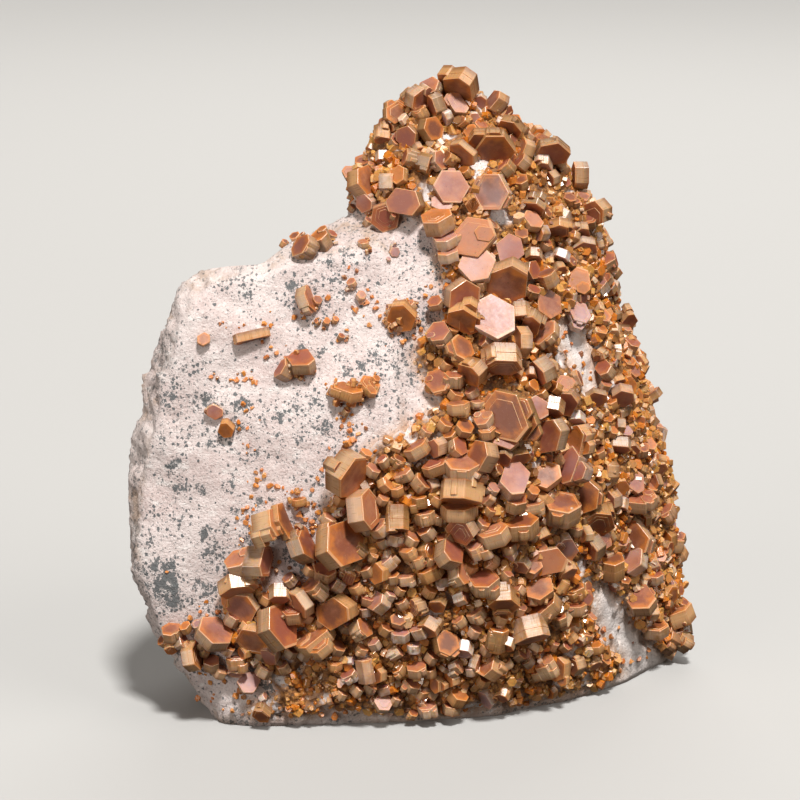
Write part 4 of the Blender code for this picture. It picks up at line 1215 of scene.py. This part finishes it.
def prism_look():
    """The sides of the crystals: khaki, faintly striped along the axis, warmer towards the ends (partly
    zoning, partly painted glow), with painted shade towards the end that faces the rock and a painted
    highlight along the outer end's edge.
    """
    look = Look("vanadinite_sides")
    hue, light, painted_sheen = look.parts(look.vector("tone"))
    grain = look.vector("grain")
    height = look.parts(look.vector("shape"))[2]
    stripes = look.noise(look.scaled(grain, (1, 1, 0.10)), 4.2, 4, 0.62)
    bands = look.noise(look.scaled(grain, (0.07, 0.07, 1)), 3.6, 3, 0.6)
    cloud = look.noise(grain, 0.55, 4, 0.6)
    look.colour = look.over(KHAKI, TAN, hue, 0.60, 0.10, 0.9)
    look.paint(SALMON, hue, 0.72, 1.0, 0.6)
    look.paint(OLIVE, light, 0.45, 0.1, 0.6)
    look.paint(TAN, cloud, 0.52, 0.68, 0.6)
    look.paint(OLIVE, stripes, 0.50, 0.34, 0.35)
    look.paint(RIM, bands, 0.54, 0.70, 0.35)
    look.paint(RIM, light, 0.4, 1.0, 0.35)
    # Partly zoning, partly painted glow: orange towards both ends, as light shining through the crystal's
    # edges.
    ragged = look.sum("MULTIPLY_ADD", cloud, 0.5, look.sum("ABSOLUTE", height))
    look.paint(ORANGE, ragged, 0.95, 1.2, 0.55)
    # Painted shade: the sides darken towards the end that faces the rock, where the crystals crowd.
    look.paint(UMBER, height, 0.1, -0.9, 0.6)
    # Painted highlight: a pale band along the edge of the end that faces out.
    look.paint(RIM, height, 0.91, 0.97, 0.6)
    # Painted sheen and glints: a white reflection of the light painted over the sides, as much as the
    # crystal's sheen number gives.
    sheen_patches = look.step(look.noise(grain, 0.6, 3, 0.6), 0.7, 0.3)
    look.cover(SHEEN_WHITE, look.sum("MULTIPLY", painted_sheen, sheen_patches))
    normal = look.bump(stripes, 0.06 * MM, 0.4)
    normal = look.bump(bands, 0.05 * MM, 0.4, normal)
    roughness = look.step(stripes, 0.3, 0.7, 0.25, 0.46)
    look.set(Base_Color=look.colour, Normal=normal, Roughness=roughness, IOR=1.75)
    look.glow()
    return look.material


def druse_look():
    """The small crystals: glassier, each one anywhere from dark umber to pale honey."""
    look = Look("vanadinite_druse")
    first, second, third = look.parts(look.vector("tone"))
    grain = look.vector("grain")
    look.colour = look.over(UMBER, TAN, first, -0.15, 0.45)
    look.paint(ORANGE, second, 0.45, 0.80)
    look.paint(HONEY, third, 0.50, 0.92)
    look.paint(PALE_HONEY, look.sum("MULTIPLY", second, third), 0.55, 0.9, 0.8)
    look.paint(UMBER, look.noise(grain, 1.8, 4, 0.65), 0.46, 0.68, 0.4)
    normal = look.bump(look.noise(grain, 3.0, 3, 0.6), 0.08 * MM, 0.5)
    roughness = look.step(third, 0.0, 1.0, 0.16, 0.42)
    look.set(Base_Color=look.colour, Normal=normal, Roughness=roughness, IOR=2.0)
    look.glow()
    return look.material


def grain_look():
    """The grains strewn on the bare rock: saturated orange."""
    look = Look("orange_grains")
    first, second, third = look.parts(look.vector("tone"))
    grain = look.vector("grain")
    look.colour = look.mix(first, AMBER, TANGERINE)
    look.paint(BROWN, second, 0.75, 1.0, 0.8)
    look.paint(PALE_HONEY, look.noise(grain, 2.4, 3, 0.6), 0.52, 0.68, 0.5)
    normal = look.bump(look.noise(grain, 3.0, 3, 0.6), 0.08 * MM, 0.5)
    roughness = look.step(third, 0.0, 1.0, 0.25, 0.5)
    look.set(Base_Color=look.colour, Normal=normal, Roughness=roughness, IOR=1.8)
    return look.material


def floor_look():
    look = Look("pale_floor")
    look.set(Base_Color=(0.45, 0.445, 0.435), Roughness=0.85)
    return look.material


# The object.

rock = build_rock([rock_look()])
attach(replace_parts(rock, "matrix"), "root")
crust = build_crust(rock, [crust_look()])
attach(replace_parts(crust, "joined_crystals"), "root")

VANADINITE = [basal_look(), prism_look()]
SMALL_VANADINITE = [druse_look()]
rock_tree = BVHTree.FromObject(rock, bpy.context.evaluated_depsgraph_get())


def crystal_piece(name, cluster, *nodes, looks=VANADINITE):
    item = cluster.finish(name, looks)
    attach(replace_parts(item, *nodes), "root")


def around(across, down, width, near, far, rng, flat=1.0):
    """A place round a crystal on the sheet, near to far of its widths from its middle."""
    angle = rng.uniform(0, 2 * math.pi)
    away = width * rng.uniform(near, far)
    return across + math.cos(angle) * away, down + math.sin(angle) * away * flat


def any_tone(rng):
    return [rng.random() for _ in range(3)]


REGIONS = {
    "peak_crystals": (PEAK, PEAK_SMALL, CRUST_HEIGHT),
    "shoulder_crystals": (SHOULDER, SHOULDER_SMALL, CRUST_HEIGHT),
    "middle_crystals": (MIDDLE, MIDDLE_SMALL, CRUST_HEIGHT),
    "foot_crystals": (FOOT, FOOT_SMALL + LOWER_SMALL, CRUST_HEIGHT),
    "left_corner_crystals": (LEFT_CORNER, CORNER_SMALL, CORNER_BED),
}
for name, (large, small, bed) in REGIONS.items():
    rng = random.Random(f"{SEED} {name}")
    cluster = Cluster()
    for row in large:
        grow_row(cluster, FRONT, rock_tree, row, bed, rng)
    for row in small:
        if kept_clear(np.array([row[:2]], float))[0] < 0.5:
            grow_row(cluster, FRONT, rock_tree, row, bed * SMALL_BED, rng, warm=0.12)
    crystal_piece(name, cluster, "joined_crystals")

# The same field where the photograph's side ends: the far side and behind the peak.
rng = random.Random(f"{SEED} far")
cluster = Cluster()
for sheet, rows, bed in ((SIDE, FAR_SIDE, FAR_BED), (BACK, BEHIND_PEAK, CRUST_HEIGHT)):
    for row in rows:
        grow_row(cluster, sheet, rock_tree, row, bed, rng)
draws = np.random.default_rng(SEED)
points, normals = sprinkle(crust.data, FAR_COUNT * FAR_TRIES, draws)
hidden = field_depth(points) > FAR_INSIDE
hidden &= (normals @ np.array(FRONT.forward)) > FAR_FROM
for point, normal in list(zip(points[hidden], normals[hidden]))[:FAR_COUNT]:
    width = rng.uniform(*FAR_SIZES) * MM
    thickness = width * rng.uniform(0.35, 0.6)
    place = random_place(point, normal, width * 0.2, 1.1, rng)
    grow_tablet(cluster, place, width, thickness, rng, crystal_tone(rng, warm=0.15))
crystal_piece("far_side_crystals", cluster, "joined_crystals")

for name, rows in LONE_GROUPS.items():
    rng = random.Random(f"{SEED} {name}")
    cluster = Cluster()
    for row in rows:
        toned = (*row, LONE_TONES.get(name))
        grow_row(cluster, FRONT, rock_tree, toned, -SUNK.get(name, 0), rng, squash=SQUASHED.get(name))
        across, down, width = row[:3]
        for _ in range(SPLINTERS.get(name, 0)):
            place = around(across, down, width, 0.15, 0.62, rng, flat=0.7)
            size = width * rng.uniform(0.14, 0.34)
            lie = (rng.uniform(35, 90), rng.uniform(0, 360), rng.uniform(0, 60), "orange")
            splinter = (*place, size, size * rng.uniform(0.2, 0.6), *lie)
            lift = SHEET_UNIT * size * rng.uniform(0.0, 0.9)
            grow_row(cluster, FRONT, rock_tree, splinter, lift, rng, warm=0.4)
    crystal_piece(name + "_look", cluster, name)

# The druse: thousands of small crystals between the large ones, and grains strewn on the bare face.
rng = random.Random(f"{SEED} druse")
points, normals = sprinkle(crust.data, DRUSE_COUNT, draws)
depth = field_depth(points)
inside = depth > -DRUSE_OUTSIDE
inside &= draws.random(len(points)) > bareness(points, depth) * 0.92
inside &= kept_clear(FRONT.places(points)) < 0.9
halves = {"druse_front": Cluster(), "druse_far": Cluster()}
for point, normal in zip(points[inside], normals[inside]):
    width = (DRUSE_SIZES[0] + (DRUSE_SIZES[1] - DRUSE_SIZES[0]) * rng.random() ** 2) * MM
    thickness = width * rng.uniform(0.4, 0.95)
    place = random_place(point, normal, width * rng.uniform(0.0, 0.3), 1.0, rng)
    half = "druse_far" if normal @ np.array(FRONT.forward) > DRUSE_FAR_FROM else "druse_front"
    grow_prism(halves[half], place, width, thickness, rng, any_tone(rng))
for name, cluster in halves.items():
    crystal_piece(name, cluster, "joined_crystals", looks=SMALL_VANADINITE)

rng = random.Random(f"{SEED} grains")
cluster = Cluster()
for across, down, width, thickness, lean, heading, roll, *tone in FACE_SMALL:
    row = (across, down, width * 0.85, thickness, lean, heading, roll, *tone)
    grow_row(cluster, FRONT, rock_tree, row, -0.25 * thickness * SHEET_UNIT, rng, warm=0.2)
    for _ in range(rng.choice((2, 3, 4, 5))):
        place = around(across, down, width, 0.3, 0.75, rng)
        size = width * rng.uniform(0.2, 0.5)
        lie = (rng.uniform(20, 90), rng.uniform(0, 360), rng.uniform(0, 60), *tone)
        grow_row(cluster, FRONT, rock_tree, (*place, size, size * 0.5, *lie), 0, rng, warm=0.4)
item = cluster.finish("strewn_crystals", VANADINITE)
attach(item, "root")
cluster = Cluster()
strewn = []
for across, down, width in GRAINS:
    strewn.append((across, down, width * rng.uniform(0.75, 1.15)))
    for _ in range(rng.choice((0, 1, 2, 3))):
        strewn.append((across + rng.gauss(0, 7), down + rng.gauss(0, 6), 1.6 + 3.6 * rng.random() ** 2))
for window, count in ((SIDE_WINDOW, 26), (FOOT_WINDOW, 46), (FOOT_EDGE, 170)):
    corners = np.array(window, float)
    low, high = corners.min(0), corners.max(0)
    for _ in range(count):
        strewn.append((rng.uniform(low[0], high[0]), rng.uniform(low[1], high[1]), rng.uniform(2.5, 7)))
for across, down, width in strewn:
    thickness = width * rng.uniform(0.3, 0.7)
    row = (across, down, width, thickness, rng.uniform(5, 60), rng.uniform(0, 360), rng.uniform(0, 60))
    place = place_crystal(FRONT, rock_tree, row, -0.15 * width * SHEET_UNIT)
    if place.translation.z < LOWEST_GRAIN:
        continue
    size = (width * SHEET_UNIT, thickness * SHEET_UNIT)
    grow_prism(cluster, place, *size, rng, any_tone(rng), GRAIN_UNEVEN)
item = cluster.finish("strewn_grains", [grain_look()])
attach(item, "root")


# The floor, the light and the camera.

FLOOR_REACH = 14.0
FLOOR_HEIGHT = -0.05 * MM
floor_mesh = bpy.data.meshes.new("floor")
floor_signs = ((-1, -1), (1, -1), (1, 1), (-1, 1))
floor_corners = [(x * FLOOR_REACH, y * FLOOR_REACH, FLOOR_HEIGHT) for x, y in floor_signs]
floor_mesh.from_pydata(floor_corners, [], [(0, 1, 2, 3)])
floor = new_object("floor", floor_mesh, floor_look())
floor.visible_diffuse = False
floor.visible_glossy = False


def facing(azimuth, rise):
    """The way from the object towards a light. Azimuth 0 is the camera's side and 90 is the right."""
    azimuth = math.radians(azimuth)
    rise = math.radians(rise)
    return Vector((math.sin(azimuth) * math.cos(rise), -math.cos(azimuth) * math.cos(rise), math.sin(rise)))


def add_light(name, kind, azimuth, rise, distance, power, colour, **settings):
    """A soft light that faces the object."""
    light = bpy.data.lights.new(name, kind)
    light.energy = power
    light.color = colour
    for setting, value in settings.items():
        setattr(light, setting, value)
    item = bpy.data.objects.new(name, light)
    bpy.context.scene.collection.objects.link(item)
    back = facing(azimuth, rise)
    item.location = LOOK_AT + back * distance
    item.rotation_euler = (-back).to_track_quat("-Z", "Y").to_euler()


add_light("key", "SUN", 14, 60, 1.8, 4.3, (1.0, 0.985, 0.96), angle=math.radians(8))
add_light("side", "AREA", 58, 38, 1.0, 3.4, (1.0, 0.97, 0.93), shape="SQUARE", size=0.6)
add_light("back", "AREA", 172, 42, 1.2, 4.6, (1.0, 0.98, 0.95), shape="SQUARE", size=0.8)
add_light("fill", "AREA", -45, 8, 1.2, 7.2, (1.0, 0.97, 0.93), shape="SQUARE", size=0.8)

world = bpy.data.worlds.new("studio")
world.use_nodes = True
background = world.node_tree.nodes["Background"]
background.inputs["Color"].default_value = (1.0, 0.88, 0.76, 1)
background.inputs["Strength"].default_value = 0.10
bpy.context.scene.world = world
bpy.context.scene.view_settings.view_transform = "Standard"

camera_data = bpy.data.cameras.new("camera")
camera_data.sensor_width = SENSOR
camera_data.lens = SENSOR * EYE_DISTANCE / (2 * SHEET_MIDDLE * SHEET_UNIT)
camera = bpy.data.objects.new("camera", camera_data)
bpy.context.scene.collection.objects.link(camera)
camera.location = FRONT.eye
camera.rotation_euler = FRONT.forward.to_track_quat("-Z", "Y").to_euler()
bpy.context.scene.camera = camera
